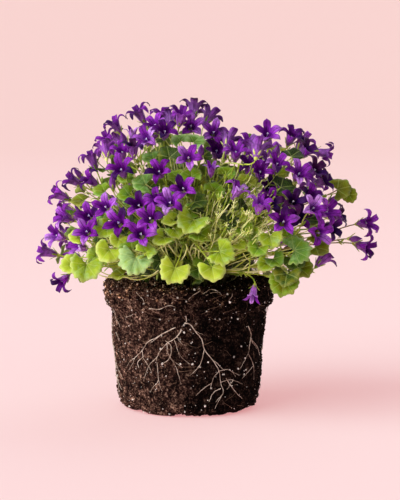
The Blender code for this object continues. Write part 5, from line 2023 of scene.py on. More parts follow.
@dataclass
class Scaffold:
    """Points for parts to stand on and lines for stalks to follow, in millimetres."""

    places: list[Vector] = field(default_factory=list)
    values: list[dict] = field(default_factory=list)
    edges: list[tuple[int, int]] = field(default_factory=list)

    def add(
        self, kind: Kind, place: Vector, axes: tuple[Vector, ...], size: float, **values: float
    ) -> None:
        """Add a point for one part.

        Args:
            kind: what stands there.
            place: where.
            axes: the part's own X, Y and Z directions.
            size: its scale.
            values: more values by attribute name.
        """
        turn = Matrix(axes).transposed().to_euler()
        self.places.append(place)
        self.values.append({"kind": int(kind), "turn": tuple(turn), "size": size * MM, **values})

    def add_line(self, path: list[Vector], start: float, end: float, tint: float = 0.5) -> None:
        """Add a line for a stalk or root, with its radius at both ends and its tint."""
        first = len(self.places)
        for index, point in enumerate(path):
            radius = start + (end - start) * index / (len(path) - 1)
            self.places.append(point)
            self.values.append({"kind": int(Kind.LINE), "thick": radius * MM, "tint": tint})
            if index:
                self.edges.append((first + index - 1, first + index))

    def mesh(self, name: str) -> bpy.types.Mesh:
        """Return the scaffold as a mesh with its values as attributes."""
        mesh = bpy.data.meshes.new(name)
        mesh.from_pydata([tuple(place * MM) for place in self.places], self.edges, [])
        for attribute, kind, blank in (
            ("kind", "INT", 0), ("bell_form", "INT", 0), ("blade_form", "INT", 0),
            ("calyx_form", "INT", 0), ("style_form", "INT", 0), ("bract_form", "INT", 0),
            ("size", "FLOAT", 1.0), ("tint", "FLOAT", 0.5), ("thick", "FLOAT", 0.0),
            ("turn", "FLOAT_VECTOR", (0.0, 0.0, 0.0)),
        ):
            layer = mesh.attributes.new(attribute, kind, "POINT")
            for item, values in zip(layer.data, self.values):
                if kind == "FLOAT_VECTOR":
                    item.vector = values.get(attribute, blank)
                else:
                    item.value = values.get(attribute, blank)
        return mesh


@dataclass
class Plant:
    """The bellflower itself: sprays of bells, leafy shoots and the thicket inside."""

    stalk_top: float = 0.45
    stalk_foot: float = 0.62
    core_leaves: int = 130
    inner_leaves: int = 190
    inner_tries: int = 1520
    inner_stems: int = 150
    pale_tips: int = 24
    fan_stems: int = 30
    bract_share: float = 0.8
    free_zone: float = 17.0
    layout: Layout = field(default_factory=Layout)

    def __post_init__(self) -> None:
        """Build the finishes, the repeated forms and the planting trees."""
        rng = random.Random(SEED + 5)
        parts = Parts()
        self.rng = random.Random(SEED + 7)
        self.inputs = {
            "bell forms": parts.bells(rng), "bell finish": PetalSkin().build(),
            "style forms": parts.styles(), "style finish": StigmaSkin().build(),
            "calyx forms": parts.calyx(), "blade forms": parts.blades(rng),
            "blade finish": LeafSkin().build(), "bract forms": parts.bracts(),
            "Stalk finish": StalkSkin().build(), "Stalk sides": 6,
        }
        self.inputs["calyx finish"] = self.inputs["Stalk finish"]
        self.inputs["bract finish"] = self.inputs["blade finish"]
        self.bell_tree = PlantingTree(
            "BellsOnStalks",
            (Branch("bell", Kind.BLOOM, Kind.BUD), Branch("style", Kind.BLOOM, Kind.BLOOM)), False,
        )
        self.green_tree = PlantingTree(
            "Greenery",
            (Branch("calyx", Kind.BLOOM, Kind.SPENT), Branch("blade", Kind.LEAF, Kind.LEAF),
             Branch("bract", Kind.BRACT, Kind.BRACT)), True,
        )

    def build(self) -> None:
        """Lay the plant out and build every piece of it."""
        sprays, shoots = self.layout.grow()
        LOG.info("%d sprays and %d shoots laid out", len(sprays), len(shoots))
        for number, growth in enumerate(sprays, 1):
            self.build_spray(number, growth)
        for number, growth in enumerate(shoots, 1):
            self.build_shoot(number, growth)
        self.build_thicket()
        for name, value in self.inputs.items():
            if name.endswith("forms"):
                discard(value)

    def look_of(self, head: Organ) -> tuple[int, float]:
        """Return the form and the tint of a bloom or bud."""
        if head.kind == Kind.BUD:
            return BUD_FORM, 0.4
        look = BLOOMS[head.number][6] if head.number < len(BLOOMS) else self.rng.choice(BACK_LOOKS)
        name, tint = look.value
        form = [corolla.name for corolla in COROLLAS].index(name) * VARIANTS
        tint += self.rng.uniform(-0.08, 0.08)
        return form + self.rng.randrange(VARIANTS), min(max(tint, 0.0), 1.0)

    def size_of(self, head: Organ) -> float:
        """Return the size of a bloom or bud against its full form; slim bells are young ones."""
        look = BLOOMS[head.number][6] if head.number < len(BLOOMS) else Look.STAR
        small = look in (Look.SLIM, Look.DUSKY)
        return self.rng.uniform(0.72, 0.82) if small else self.rng.uniform(0.82, 0.95)

    def add_stalks(self, scaffold: Scaffold, growth: Growth) -> None:
        """Add the stem of a growth and the stalks to its other organs, with small bracts."""
        hole = growth.path[-1]
        main = bezier(growth.anchors[0], 16) + [hole]
        tint = self.stalk_tint(growth.organs[0])
        scaffold.add_line(main, self.stalk_top, self.stalk_foot, tint)
        self.add_bract(scaffold, main)
        for organ, anchors in list(zip(growth.organs, growth.anchors))[1:]:
            foot, second, first, start = anchors
            joint = min(main, key=lambda point: (point - start).length)
            path = bezier([foot, second, first, joint], 10)
            scaffold.add_line(path, self.stalk_top, self.stalk_top * 1.1, self.stalk_tint(organ))
            self.add_bract(scaffold, path)

    def stalk_tint(self, organ: Organ) -> float:
        """Return how yellow a stalk is: brown on the outermost right, else a pale green."""
        if organ.foot.x > 100.0:
            return 0.2
        return self.rng.uniform(0.5, 0.95)

    def add_bract(self, scaffold: Scaffold, path: list[Vector]) -> None:
        """Add a pair of bracts part of the way down a stalk, on most stalks."""
        if self.rng.random() > self.bract_share:
            return
        at = self.rng.randint(2, len(path) // 2)
        way = (path[at - 1] - path[at + 1]).normalized()
        out, _ = square_axes(way)
        out = Matrix.Rotation(self.rng.uniform(0.0, 6.0), 3, way) @ out
        for side in (1.0, -1.0):
            tip = (out * side + way * 0.9).normalized()
            face = tip.cross(way).cross(tip).normalized()
            scaffold.add(
                Kind.BRACT, path[at], (tip, face.cross(tip), face), self.rng.uniform(3.5, 6.5),
                tint=self.rng.choice((FRESH, LIME, BRIGHT, SHADY)),
            )

    def build_spray(self, number: int, growth: Growth) -> None:
        """Build one flower spray: its bells as one piece and its greens as another."""
        scaffold = Scaffold()
        for head in growth.organs:
            form, tint = self.look_of(head)
            first, second = square_axes(head.axis)
            u = first * math.cos(head.roll) + second * math.sin(head.roll)
            axes = (u, head.axis.cross(u), head.axis)
            scaffold.add(head.kind, head.foot, axes, self.size_of(head), bell_form=form, tint=tint)
        node = f"flower_spray_{number:02d}"
        bells = self.bell_tree.apply(f"spray_{number:02d}_bells", scaffold, self.inputs)
        hand_over(bells, "violet_bloom", node)
        for values in scaffold.values:
            values["tint"] = self.rng.uniform(0.5, 0.9)
        self.add_stalks(scaffold, growth)
        greens = self.green_tree.apply(f"spray_{number:02d}_greens", scaffold, self.inputs)
        hand_over(greens, "leaf_green", node)

    def add_leaf(
        self, scaffold: Scaffold, foot: Vector, tip: Vector, face: Vector, radius: float,
        green: float, plain: bool = False,
    ) -> None:
        """Add one leaf blade to a scaffold.

        Args:
            scaffold: the scaffold that gets the leaf.
            foot: its joint.
            tip: the way it points.
            face: the way its upper face looks.
            radius: its radius.
            green: its place on the ramp of greens.
            plain: whether it has one of the plain forms.
        """
        form = self.rng.randrange(3) + (0 if radius > BIG_BLADE else 3)
        if plain:
            form = 6 + self.rng.randrange(2)
        axes = (tip, face.cross(tip), face)
        scaffold.add(Kind.LEAF, foot, axes, radius, blade_form=form, tint=green)

    def green_of(self, leaf: Organ) -> float:
        """Return a leaf's green, from the photo for a leaf of the front."""
        if leaf.number < len(self.layout.greens):
            return self.layout.greens[leaf.number]
        return self.rng.choice((SHADY, FRESH, FRESH, SAGE, LIME, OLIVE))

    def build_shoot(self, number: int, growth: Growth) -> None:
        """Build one leafy shoot as one piece."""
        scaffold = Scaffold()
        for leaf in growth.organs:
            self.add_leaf(
                scaffold, leaf.foot, leaf.tip, leaf.face, leaf.radius, self.green_of(leaf)
            )
        self.add_stalks(scaffold, growth)
        shoot = self.green_tree.apply(f"shoot_{number:02d}_leaves", scaffold, self.inputs)
        hand_over(shoot, "leaf_green", f"leafy_shoot_{number:02d}")

    def build_thicket(self) -> None:
        """Build the thin stems, small leaves and spent calyces inside the plant."""
        leaves = Scaffold()
        for leaf in self.layout.unreached:
            if leaf.kind == Kind.LEAF:
                self.add_leaf(
                    leaves, leaf.foot, leaf.tip, leaf.face, leaf.radius, self.green_of(leaf)
                )
                self.add_free_stalk(leaves, leaf.foot, leaf.axis)
        for across, up, radius, tip_angle, turn_up, depth, green in SMALL_LEAVES:
            tip, face = Layout.leaf_ways(tip_angle, turn_up)
            foot = on_surface(across, up) + INWARD * depth - tip * radius * JOINT_SHARE
            self.add_leaf(leaves, foot, tip, face, radius, green)
            self.add_free_stalk(leaves, foot, leaf_axis(tip, face))
        self.add_core_leaves(leaves)
        self.add_inner_leaves(leaves)
        hand_over(self.green_tree.apply("inner_leaves", leaves, self.inputs), "leaf_green")
        stems = Scaffold()
        self.add_inner_stems(stems)
        self.add_front_stems(stems)
        hand_over(self.green_tree.apply("inner_stems", stems, self.inputs), "leaf_green")

    def add_core_leaves(self, scaffold: Scaffold) -> None:
        """Add near-black leaves, painted shade, that close the plant's inside to the view."""
        rng = self.rng
        for number in range(self.core_leaves):
            high = number % 3 == 0
            way = Layout.wild_direction(rng, 4.0, 50.0 if high else 82.0)
            far = rng.uniform(0.5, 0.74) if high else rng.uniform(0.2, 0.5)
            spot = CROWN + way * reach(way) * far
            face = (way + spread(rng, 0.6)).normalized()
            tip = UP + spread(rng, 0.9)
            tip = (tip - face * tip.dot(face)).normalized()
            radius = rng.uniform(7.0, 11.0)
            # Their greens are painted shade: near black low down, dark green higher up
            green = rng.uniform(0.05, 0.3) if high else rng.uniform(0.0, 0.08)
            self.add_leaf(scaffold, spot, tip, face, radius, green, plain=True)

    def add_inner_leaves(self, scaffold: Scaffold) -> None:
        """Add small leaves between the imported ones, wherever there is room."""
        rng, placed = self.rng, 0
        for _ in range(self.inner_tries):
            if placed >= self.inner_leaves:
                break
            way = Layout.wild_direction(rng, 8.0, 94.0)
            most = 0.74 if way.z < 0.35 else 0.9
            spot = CROWN + way * reach(way) * rng.uniform(0.42, most)
            face = (way * 0.5 + UP * 0.5 + spread(rng, 0.7)).normalized()
            tip = (way + spread(rng, 0.9)).normalized()
            tip = (tip - face * tip.dot(face)).normalized()
            radius = rng.uniform(5.5, 10.0)
            solid = PlainForms.leaf(spot, tip, face, radius)
            if self.over_rim(spot) or not self.layout.room.clear(solid, gap=0.1):
                continue
            placed += 1
            self.layout.room.solids[f"inner_{placed}"] = solid
            # The two darkest greens here are painted shade inside the plant
            green = rng.choice((SHADY, FRESH, OLIVE, LIME, DEEP_SHADE, SAGE, SHADY, DEEP_SHADE))
            self.add_leaf(scaffold, spot, tip, face, radius, green, plain=True)
            self.add_free_stalk(scaffold, spot, leaf_axis(tip, face))
        LOG.info("%d inner leaves", placed)

    def add_inner_stems(self, scaffold: Scaffold) -> None:
        """Add thin stems inside the plant, each with a spent calyx or a bract at its end."""
        rng = self.rng
        for number in range(self.inner_stems):
            if number % 3:
                way = Layout.wild_direction(rng, 5.0, 82.0)
                end = CROWN + way * reach(way) * rng.uniform(0.6, 0.92)
            else:
                across, up = rng.uniform(8.0, 62.0), rng.uniform(112.0, 165.0)
                end = on_surface(across, up) + INWARD * rng.uniform(2.0, 22.0)
                way = (end - CROWN).normalized()
            if self.over_rim(end):
                continue
            axis = (way + UP * 0.4 + spread(rng, 0.4)).normalized()
            self.add_free_stalk(scaffold, end, axis)
            first, second = square_axes(axis)
            if number % 4 == 0:
                scaffold.add(
                    Kind.SPENT, end, (first, second, axis), rng.uniform(0.4, 0.7),
                    tint=rng.uniform(0.5, 0.9),
                )
            else:
                face = axis.cross(first)
                scaffold.add(
                    Kind.BRACT, end, (axis, first, -face), rng.uniform(3.0, 5.5),
                    tint=rng.choice((FRESH, LIME, BRIGHT, BRIGHT)),
                )

    @staticmethod
    def over_rim(spot: Vector) -> bool:
        """Tell whether a place is so low that what hangs from it would cover the soil's side."""
        outside = math.hypot(spot.x, spot.y) > 46.0
        return spot.z < SOIL_TOP + (14.0 if outside and spot.y < 30.0 else 5.0)

    def add_front_stems(self, scaffold: Scaffold) -> None:
        """Add the bare stems and pale tips that the front view shows, each down into the soil."""
        rng = self.rng
        for start_depth, end_depth, run in FRONT_STEMS:
            path = []
            for index, (across, up) in enumerate(run):
                share = (index / (len(run) - 1)) ** 1.6
                depth = 0.7 * start_depth + (end_depth + 4.0 - 0.7 * start_depth) * share
                path.append(on_surface(across, up) + INWARD * depth)
            foot = path[-1]
            path.append(Vector((foot.x * 0.9, foot.y * 0.7, min(foot.z - 2.0, SOIL_TOP + 3.0))))
            path.append(Vector((foot.x * 0.85, foot.y * 0.55, SOIL_TOP - 3.0)))
            scaffold.add_line(through(path, 4), 0.34, 0.46, rng.uniform(0.86, 1.06))
        for _ in range(self.pale_tips):
            end = on_surface(rng.uniform(12.0, 50.0), rng.uniform(116.0, 144.0))
            end += INWARD * rng.uniform(0.0, 10.0)
            axis = ((end - CROWN).normalized() + UP * 0.6 + spread(rng, 0.5)).normalized()
            self.add_free_stalk(scaffold, end, axis)
            first, second = square_axes(axis)
            scaffold.add(
                Kind.SPENT, end, (first, second, axis), rng.uniform(0.3, 0.5),
                tint=rng.uniform(0.8, 1.1),
            )
        for _ in range(self.fan_stems):
            across = rng.uniform(4.0, 62.0)
            end = on_surface(across, rng.uniform(108.0, 150.0)) + INWARD * rng.uniform(3.0, 14.0)
            foot = Vector((0.32 * across + rng.uniform(-5.0, 3.0), rng.uniform(-30.0, -14.0), 85.0))
            way = (end - foot).normalized()
            high = end - (way + UP * 0.5 + spread(rng, 0.3)) * rng.uniform(8.0, 20.0)
            low = foot + (way * 0.4 + UP) * rng.uniform(14.0, 26.0) + spread(rng, 2.0)
            scaffold.add_line(bezier([end, high, low, foot], 12), 0.28, 0.42, rng.uniform(0.7, 1.1))

    def add_free_stalk(self, scaffold: Scaffold, foot: Vector, axis: Vector) -> None:
        """Add a thin stalk from an organ's foot down to a random place in the soil near it."""
        rng = self.rng
        way = (foot - CROWN).normalized()
        zone = self.free_zone * min(1.0, 0.15 + math.hypot(way.x, way.y))
        turn = math.atan2(way.y, way.x) + rng.uniform(-0.5, 0.5)
        radius = zone * rng.uniform(0.4, 1.0)
        hole = Vector((radius * math.cos(turn), radius * math.sin(turn), SOIL_TOP - 3.0))
        height = max(foot.z - SOIL_TOP, 0.0)
        out = Vector((foot.x - hole.x, foot.y - hole.y, 0.0))
        low = hole + out * 0.15 + UP * (10.0 + 0.5 * height) + spread(rng, 6.0)
        high = foot - axis * rng.uniform(8.0, 22.0) + spread(rng, 3.0)
        path = bezier([foot, high, low, hole], 12)
        scaffold.add_line(path, 0.33, 0.5, rng.uniform(0.55, 1.1))
        self.add_bract(scaffold, path)


@dataclass(frozen=True)
class Grains:
    """Loose grains of one kind that lie on the soil.

    Attributes:
        name: the piece's name.
        largest: the radius of the largest ones.
        density: how many lie on a square metre.
        seed: picks their places.
        stand: how far they stand out from the soil.
        lowest: the height from which on they lie.
        skew: how much more common the small ones are.
        skin: their finish.
    """

    name: str
    largest: float
    density: float
    seed: int
    stand: float
    lowest: float
    skew: float
    skin: GrainSkin


GRAINS = (
    Grains("perlite_grains", 0.95, 12500.0, 21, 0.4, 1.5, 2.6, GrainSkin(
        "perlite_white_grain", ((0.35, "#CBC2BA"), (0.55, "#FAF6F0")), gets_painted_side_shading=False
    )),
    Grains("soil_crumbs", 1.05, 160000.0, 5, 0.0, 1.5, 1.0, GrainSkin("peat_dark_crumb", (
        (0.36, "#050202"), (0.45, "#1F120F"), (0.54, "#382620"), (0.64, "#58453B"),
        (0.75, "#8C796B"),
    ), 1.9, 0.34)),
    Grains("rim_clods", 2.3, 34000.0, 11, 0.2, 79.0, 1.5, GrainSkin("peat_clod", (
        (0.34, "#060303"), (0.46, "#26160F"), (0.55, "#61442F"), (0.67, "#B09A84"),
    ), 1.6, 0.4)),
)


@dataclass
class RootBall:
    """The moulded soil with its crumbs, perlite grains and roots."""

    sides: int = 360
    step: float = 0.9
    foot_radius: float = 34.0
    top_rings: tuple[float, ...] = (
        50.0, 46.0, 42.0, 37.0, 32.0, 27.0, 22.0, 17.0, 12.0, 7.0, 3.0,
    )
    lump_size: float = 9.0
    lump_depth: float = 1.1
    crumb_size: float = 2.2
    crumb_depth: float = 1.5
    side_boost: float = 2.4
    rim_boost: float = 4.8
    fibres: int = 320
    stray_roots: int = 40
    root_radius: float = 0.36
    side_radius: float = 0.22
    root_lift: float = 0.75
    fine_lift: float = 0.7

    @staticmethod
    def radius(angle: float, height: float) -> float:
        """Return the root ball's radius at an angle and height, with its slight unevenness."""
        radius = BALL_PROFILE[-1][1]
        for (z0, r0), (z1, r1) in zip(BALL_PROFILE, BALL_PROFILE[1:]):
            if z0 <= height <= z1:
                radius = r0 + (r1 - r0) * (height - z0) / (z1 - z0)
                break
        uneven = 0.35 * math.sin(5 * angle + 0.11 * height)
        uneven += 0.3 * math.sin(9 * angle - 0.17 * height)
        foot = max(0.0, 1.0 - height / 9.0)
        uneven -= foot * 1.6 * max(0.0, math.cos(6 * (angle + math.pi / 2))) ** 3
        return radius + uneven

    @staticmethod
    def foot_lift(angle: float, height: float) -> float:
        """Return how far the soil's lower edge is broken away upwards at an angle."""
        lift = 0.0
        for middle, half, depth in FOOT_GAPS:
            off = (math.degrees(angle) - middle + 180.0) % 360.0 - 180.0
            lift = max(lift, depth * max(0.0, 1.0 - (off / half) ** 2))
        return lift * max(0.0, 1.0 - height / 12.0)

    def build(self) -> None:
        """Build the soil, what lies in it and the roots on it."""
        soil = self.build_soil()
        rng = random.Random(SEED + 3)
        for grains in GRAINS:
            self.scatter(soil, grains, rng)
        self.build_fibres(rng)
        self.build_roots(rng)

    def build_soil(self) -> bpy.types.Object:
        """Build the soil body with its relief and return it."""
        heights = []
        for (z0, _), (z1, _) in zip(BALL_PROFILE, BALL_PROFILE[1:]):
            steps = max(1, round((z1 - z0) / self.step))
            heights += [z0 + (z1 - z0) * k / steps for k in range(steps)]
        heights.append(BALL_PROFILE[-1][0])
        points, faces = [], []
        for k in range(self.sides):
            angle = math.tau * k / self.sides
            r = self.foot_radius
            points.append((r * math.cos(angle) * MM, r * math.sin(angle) * MM, 0.0))
        for z in heights:
            for k in range(self.sides):
                angle = math.tau * k / self.sides
                r = self.radius(angle, z)
                high = z + self.foot_lift(angle, z)
                points.append((r * math.cos(angle) * MM, r * math.sin(angle) * MM, high * MM))
        for r in self.top_rings:
            for k in range(self.sides):
                angle = math.tau * k / self.sides
                x, y = r * math.cos(angle), r * math.sin(angle)
                z = SOIL_TOP - 1.0 + 0.5 * math.sin(0.13 * x + 1.0) * math.cos(0.11 * y)
                points.append((x * MM, y * MM, z * MM))
        rows = 1 + len(heights) + len(self.top_rings)
        for row in range(rows - 1):
            for k in range(self.sides):
                a, b = row * self.sides + k, row * self.sides + (k + 1) % self.sides
                faces.append((a, b, b + self.sides, a + self.sides))
        faces.append(tuple(range(self.sides - 1, -1, -1)))
        faces.append(tuple(range((rows - 1) * self.sides, rows * self.sides)))
        mesh = bpy.data.meshes.new("potting_soil")
        mesh.from_pydata(points, [], faces)
        soil = frozen(
            bpy.data.objects.new("potting_soil", mesh), self.relief_tree(),
            {"Lump size": self.lump_size * MM, "Lump depth": self.lump_depth * MM,
             "Crumb size": self.crumb_size * MM, "Crumb depth": self.crumb_depth * MM,
             "Side boost": self.side_boost, "Rim boost": self.rim_boost,
             "Finish": SoilSkin().build()},
        )
        for vertex in soil.data.vertices:
            vertex.co.z = max(vertex.co.z, 0.0)
        hand_over(soil, "soil", "root_ball")
        return soil

    @staticmethod
    def relief_tree() -> bpy.types.NodeTree:
        """Build the tree that pushes the soil's surface in and out by lumps and crumbs."""
        sizes = (
            "Lump size", "Lump depth", "Crumb size", "Crumb depth", "Side boost", "Rim boost",
        )
        kinds = {**dict.fromkeys(sizes, "Float"), "Finish": "Material"}
        tree, start = new_tree("SoilRelief", kinds)
        place = add_node(tree, "GeometryNodeInputPosition")
        normal = add_node(tree, "GeometryNodeInputNormal")
        total = 0.0
        for kind in ("Lump", "Crumb"):
            scale = add_node(tree, MATH, (1.0, start[kind + " size"]), operation="DIVIDE")
            noise = add_node(
                tree, NOISE, {"Vector": place, "Scale": scale, "Detail": 4.0, "Roughness": 0.6}
            )
            middle = add_node(tree, MATH, (noise, 0.52), operation="SUBTRACT")
            total = add_node(
                tree, MATH, (middle, start[kind + " depth"], total), operation="MULTIPLY_ADD"
            )
        # The rim is rougher than the side below it
        height = add_node(tree, SPLIT, (place,), "Z")
        boost = add_node(
            tree, RANGE, (height, 66.0 * MM, 74.0 * MM, start["Side boost"], start["Rim boost"])
        )
        push = add_node(tree, MATH, (total, boost), operation="MULTIPLY")
        shift = add_node(tree, VECTOR_MATH, {0: normal, "Scale": push}, operation="SCALE")
        moved = add_node(tree, "GeometryNodeSetPosition", {0: start[0], "Offset": shift})
        smooth = add_node(tree, "GeometryNodeSetShadeSmooth", {0: moved, "Shade Smooth": True})
        fill(tree.nodes.new("NodeGroupOutput"), (dressed(tree, smooth, start["Finish"]),))
        return tree

    def scatter(self, soil: bpy.types.Object, grains: Grains, rng: random.Random) -> None:
        """Scatter grains over the soil as one piece.

        Args:
            soil: the soil body.
            grains: what they are like.
            rng: draws their forms.
        """
        forms = Parts.grains(grains.name + "_forms", rng)
        thing = bpy.data.objects.new(grains.name, soil.data.copy())
        frozen(thing, self.scatter_tree(grains.name), {
            "Forms": forms, "Finish": grains.skin.build(), "Density": grains.density,
            "Seed": grains.seed, "Skew": grains.skew, "Largest": grains.largest * MM,
            "Stand": grains.stand * MM, "Lowest": grains.lowest * MM,
        })
        discard(forms)
        hand_over(thing, "soil")

    @staticmethod
    def scatter_tree(name: str) -> bpy.types.NodeTree:
        """Build the tree that scatters grains over a mesh, each sunk a little into it."""
        sizes = ("Density", "Largest", "Stand", "Lowest", "Skew")
        tree, start = new_tree("Scatter_" + name, {
            "Forms": "Collection", **dict.fromkeys(sizes, "Float"), "Seed": "Int",
            "Finish": "Material",
        })
        place = add_node(tree, "GeometryNodeInputPosition")
        above = add_node(
            tree, COMPARE, (add_node(tree, SPLIT, (place,), "Z"), start["Lowest"]),
            data_type="FLOAT", operation="GREATER_THAN",
        )
        spots = add_node(tree, "GeometryNodeDistributePointsOnFaces", {
            "Mesh": start[0], "Selection": above, "Density": start["Density"],
            "Seed": start["Seed"],
        })
        normal = spots.node.outputs["Normal"]
        out = add_node(tree, VECTOR_MATH, {0: normal, "Scale": start["Stand"]}, operation="SCALE")
        raised = add_node(tree, "GeometryNodeSetPosition", {0: spots, "Offset": out})
        forms = add_node(
            tree, "GeometryNodeCollectionInfo", {0: start["Forms"], "Separate Children": True}
        )
        # Each grain is a random form, turned at random, and small ones are the most common
        chance = add_node(tree, RANDOM, {2: 0.0, 3: 1.0, "Seed": 3}, data_type="FLOAT")
        skewed = add_node(tree, MATH, (chance, start["Skew"]), operation="POWER")
        share = add_node(tree, MATH, (skewed, 0.7, 0.3), operation="MULTIPLY_ADD")
        size = add_node(tree, MATH, (share, start["Largest"]), operation="MULTIPLY")
        pick = add_node(tree, RANDOM, {4: 0, 5: 3, "Seed": 4}, data_type="INT")
        turn = add_node(
            tree, RANDOM, {0: (0.0, 0.0, 0.0), 1: (6.28, 6.28, 6.28), "Seed": 5},
            data_type="FLOAT_VECTOR",
        )
        copies = add_node(tree, "GeometryNodeInstanceOnPoints", {
            "Points": raised, "Instance": forms, "Pick Instance": True, "Instance Index": pick,
            "Rotation": add_node(tree, "FunctionNodeEulerToRotation", (turn,)), "Scale": size,
        })
        fill(tree.nodes.new("NodeGroupOutput"), (dressed(tree, copies, start["Finish"]),))
        return tree

    def on_ball(self, across: float, up: float, lift: float) -> Vector:
        """Return the point of the front view that lies on the root ball's side."""
        start, way = sight_line(across, up)
        for step in range(1600):
            point = start + way * (SIGHT_DISTANCE - 90.0 + 0.1 * step)
            angle = math.atan2(point.y, point.x)
            if math.hypot(point.x, point.y) <= self.radius(angle, point.z) + lift:
                return point
        raise RuntimeError("a root misses the root ball")

    def lay(self, points: list[tuple[float, float]], lift: float) -> list[Vector]:
        """Return points on the ball's side for pairs of angle and height."""
        path = []
        for angle, z in points:
            r = self.radius(angle, z) + lift
            path.append(Vector((r * math.cos(angle), r * math.sin(angle), z)))
        return path

    def grown_runs(self, rng: random.Random, degrees: float, top: float) -> list[list[tuple]]:
        """Return one root and two side roots that wander down the ball's side."""
        run = [(math.radians(degrees), top + 8.0)]
        while run[-1][1] > 12.0:
            angle, z = run[-1]
            run.append((angle + rng.uniform(-0.09, 0.10), z - rng.uniform(6.0, 9.0)))
        runs = [run]
        for start, turn in ((2, 0.10), (3, -0.10)):
            side = [run[start]]
            for _ in range(4):
                angle, z = side[-1]
                side.append((angle + turn, z - rng.uniform(4.0, 5.5)))
            runs.append([point for point in side if point[1] > 4.0])
        return runs

    def build_roots(self, rng: random.Random) -> None:
        """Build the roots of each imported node, and finer ones between them."""
        tree = PlantingTree("RootsOnSoil", (), True)
        inputs = {"Stalk finish": RootSkin().build(), "Stalk sides": 7}
        systems = [
            [[self.on_ball(x, z, self.root_lift) for x, z in run] for run in runs]
            for runs in FRONT_ROOTS
        ]
        grower = random.Random(SEED)
        for degrees, top in GROWN_ROOTS:
            runs = self.grown_runs(grower, degrees, top)
            systems.append([self.lay(run, self.root_lift) for run in runs])
        fine = Scaffold()
        for number, system in enumerate(systems, 1):
            scaffold = Scaffold()
            for index, points in enumerate(system):
                path = self.wander(points, rng)
                start = self.side_radius if index else self.root_radius
                scaffold.add_line(path, start, 0.11)
                self.add_hairs(fine, path, rng)
            piece = tree.apply(f"root_{number}_skin", scaffold, inputs)
            hand_over(piece, "pale_root", f"root_{number}")
        for run in FINE_ROOTS:
            points = [self.on_ball(x, z, self.fine_lift) for x, z in run]
            fine.add_line(self.wander(points, rng), 0.3, 0.14)
        for _ in range(self.stray_roots):
            angle, z = math.radians(rng.uniform(-20.0, 200.0)), rng.uniform(14.0, 82.0)
            points = [(angle, z)]
            lean = rng.uniform(-0.07, 0.07)
            for _ in range(rng.randint(2, 5)):
                angle, z = points[-1]
                points.append((angle + lean + rng.uniform(-0.05, 0.05), z - rng.uniform(1.5, 4.0)))
            fine.add_line(self.wander(self.lay(points, self.fine_lift), rng), 0.22, 0.12)
        piece = tree.apply("fine_roots", fine, inputs)
        hand_over(piece, "pale_root")

    def wander(self, points: list[Vector], rng: random.Random) -> list[Vector]:
        """Return a smooth path through points with small kinks in it."""
        path = through(points, 4)
        return [point + spread(rng, 0.16) for point in path]

    def add_hairs(self, fine: Scaffold, path: list[Vector], rng: random.Random) -> None:
        """Add thin side roots along a root."""
        for at in range(6, len(path) - 2, 14):
            side = rng.choice((-1.0, 1.0)) * rng.uniform(0.05, 0.1)
            angle, z = math.atan2(path[at].y, path[at].x), path[at].z
            points = [(angle, z)]
            for _ in range(rng.randint(2, 3)):
                angle, z = angle + side * rng.uniform(0.4, 1.0), z - rng.uniform(1.5, 3.5)
                points.append((angle, max(z, 3.0)))
            fine.add_line(self.wander(self.lay(points, self.fine_lift), rng), 0.2, 0.12)

    def build_fibres(self, rng: random.Random) -> None:
        """Build the short brown peat fibres, most of them at the rim, some of them standing off."""
        fibres = Scaffold()
        for number in range(self.fibres):
            angle = rng.uniform(0.0, math.tau)
            z = rng.uniform(68.0, 88.0) if number % 3 else rng.uniform(4.0, 70.0)
            lean, drop = rng.uniform(-0.06, 0.06), rng.uniform(-1.6, 1.6)
            lift = 0.5
            points = []
            for _ in range(rng.randint(3, 5)):
                points += self.lay([(angle, min(max(z, 2.0), 88.0))], lift)
                angle += lean + rng.uniform(-0.02, 0.02)
                z += drop + rng.uniform(-0.5, 0.5)
                lift += rng.uniform(-0.2, 0.5)
            fibres.add_line(through(points, 2), 0.14, 0.09)
        skin = RootSkin("peat_dry_fibre", "#8F6E56", "#5E4332", "#2C1C15")
        tree = PlantingTree("FibresOnSoil", (), True)
        piece = tree.apply("peat_fibres", fibres, {"Stalk finish": skin.build(), "Stalk sides": 4})
        hand_over(piece, "soil")


@dataclass(frozen=True)
class Sun:
    """One soft light: its name, strength, softness in degrees and where it comes from."""

    name: str
    strength: float
    softness: float
    towards: tuple[float, float, float]


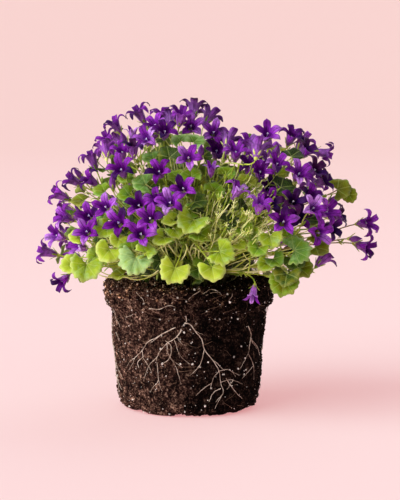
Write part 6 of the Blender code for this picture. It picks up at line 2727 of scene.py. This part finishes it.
@dataclass
class Studio:
    """A plain pale floor, soft light from the upper left, and the photo's camera."""

    floor_size: float = 160.0
    # The glows are painted light on the floor, and the far colours are darker as painted shade
    floor_colour: str = "#A0B8BA"
    floor_painted_light: str = "#D39091"
    far_shaded_colour: str = "#98AEAC"
    far_painted_light: str = "#CE8887"
    near: float = 0.4
    far: float = 2.4
    sun_colour: tuple[float, float, float] = (1.0, 0.97, 0.94)
    sky_colour: str = "#FFF4F2"
    sky_left: float = 0.5
    sky_right: float = 0.05
    suns: tuple[Sun, ...] = (
        Sun("key_sun", 3.3, 64.0, (-0.95, -0.52, 0.62)),
        Sun("fill_sun", 0.25, 50.0, (0.3, -1.0, 0.9)),
        Sun("back_sun", 0.9, 70.0, (0.75, 1.0, 0.8)),
    )
    frame_height: float = 343.75
    sensor_height: float = 36.0

    def build(self) -> None:
        """Build the floor, the lights and the camera."""
        self.build_floor()
        self.build_light()
        self.build_camera()
        bpy.context.scene.view_settings.view_transform = "Standard"

    def build_floor(self) -> None:
        """Build the floor, paper with a glow of painted light, past the view on every side."""
        half = self.floor_size / 2
        mesh = bpy.data.meshes.new("floor")
        mesh.from_pydata(
            [(-half, -half, 0), (half, -half, 0), (half, half, 0), (-half, half, 0)], [],
            [(0, 1, 2, 3)],
        )
        floor = bpy.data.objects.new("floor", mesh)
        bpy.context.scene.collection.objects.link(floor)
        material, tree, place = new_material("paper_backdrop")
        # The paper and its painted light darken away from the plant, as painted shade
        away = add_node(tree, VECTOR_MATH, (place,), operation="LENGTH")
        far = add_node(tree, RANGE, (away, self.near, self.far))
        paper, painted_light_and_shade = (
            add_node(tree, MIX, {0: far, 6: linear(first), 7: linear(second)}, **BLEND)
            for first, second in (
                (self.floor_colour, self.far_shaded_colour), (self.floor_painted_light, self.far_painted_light),
            )
        )
        mesh.materials.append(finished(material, {
            "Base Color": paper, "Emission Color": painted_light_and_shade, "Emission Strength": 1.0,
            "Roughness": 0.9, "Specular IOR Level": 0.1,
        }))

    def build_light(self) -> None:
        """Build the soft suns and the sky, brighter on the left."""
        for sun in self.suns:
            light = bpy.data.lights.new(sun.name, "SUN")
            light.energy = sun.strength
            light.angle = math.radians(sun.softness)
            light.color = self.sun_colour
            lamp = bpy.data.objects.new(sun.name, light)
            lamp.rotation_euler = Vector(sun.towards).to_track_quat("Z", "Y").to_euler()
            bpy.context.scene.collection.objects.link(lamp)
        world = bpy.data.worlds.new("studio_sky")
        world.use_nodes = True
        tree = world.node_tree
        way = add_node(tree, "ShaderNodeTexCoord", output="Generated")
        x = add_node(tree, SPLIT, (way,))
        strength = add_node(tree, RANGE, (x, -1.0, 1.0, self.sky_left, self.sky_right))
        fill(tree.nodes["Background"], {"Color": linear(self.sky_colour), "Strength": strength})
        bpy.context.scene.world = world

    def build_camera(self) -> None:
        """Build the camera at the photo's viewing angle."""
        data = bpy.data.cameras.new("camera")
        data.sensor_fit = "VERTICAL"
        data.sensor_height = self.sensor_height
        data.lens = self.sensor_height * SIGHT_DISTANCE / self.frame_height
        data.clip_end = 100.0
        camera = bpy.data.objects.new("camera", data)
        camera.location = (AIM - INWARD * SIGHT_DISTANCE) * MM
        camera.rotation_euler = INWARD.to_track_quat("-Z", "Y").to_euler()
        bpy.context.scene.collection.objects.link(camera)
        bpy.context.scene.camera = camera


def main() -> None:
    """Build the dressed bellflower and its studio."""
    logging.basicConfig(level=logging.INFO, format="%(name)s: %(message)s")
    Studio().build()
    RootBall().build()
    Plant().build()
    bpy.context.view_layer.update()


if __name__ == "__main__":
    main()
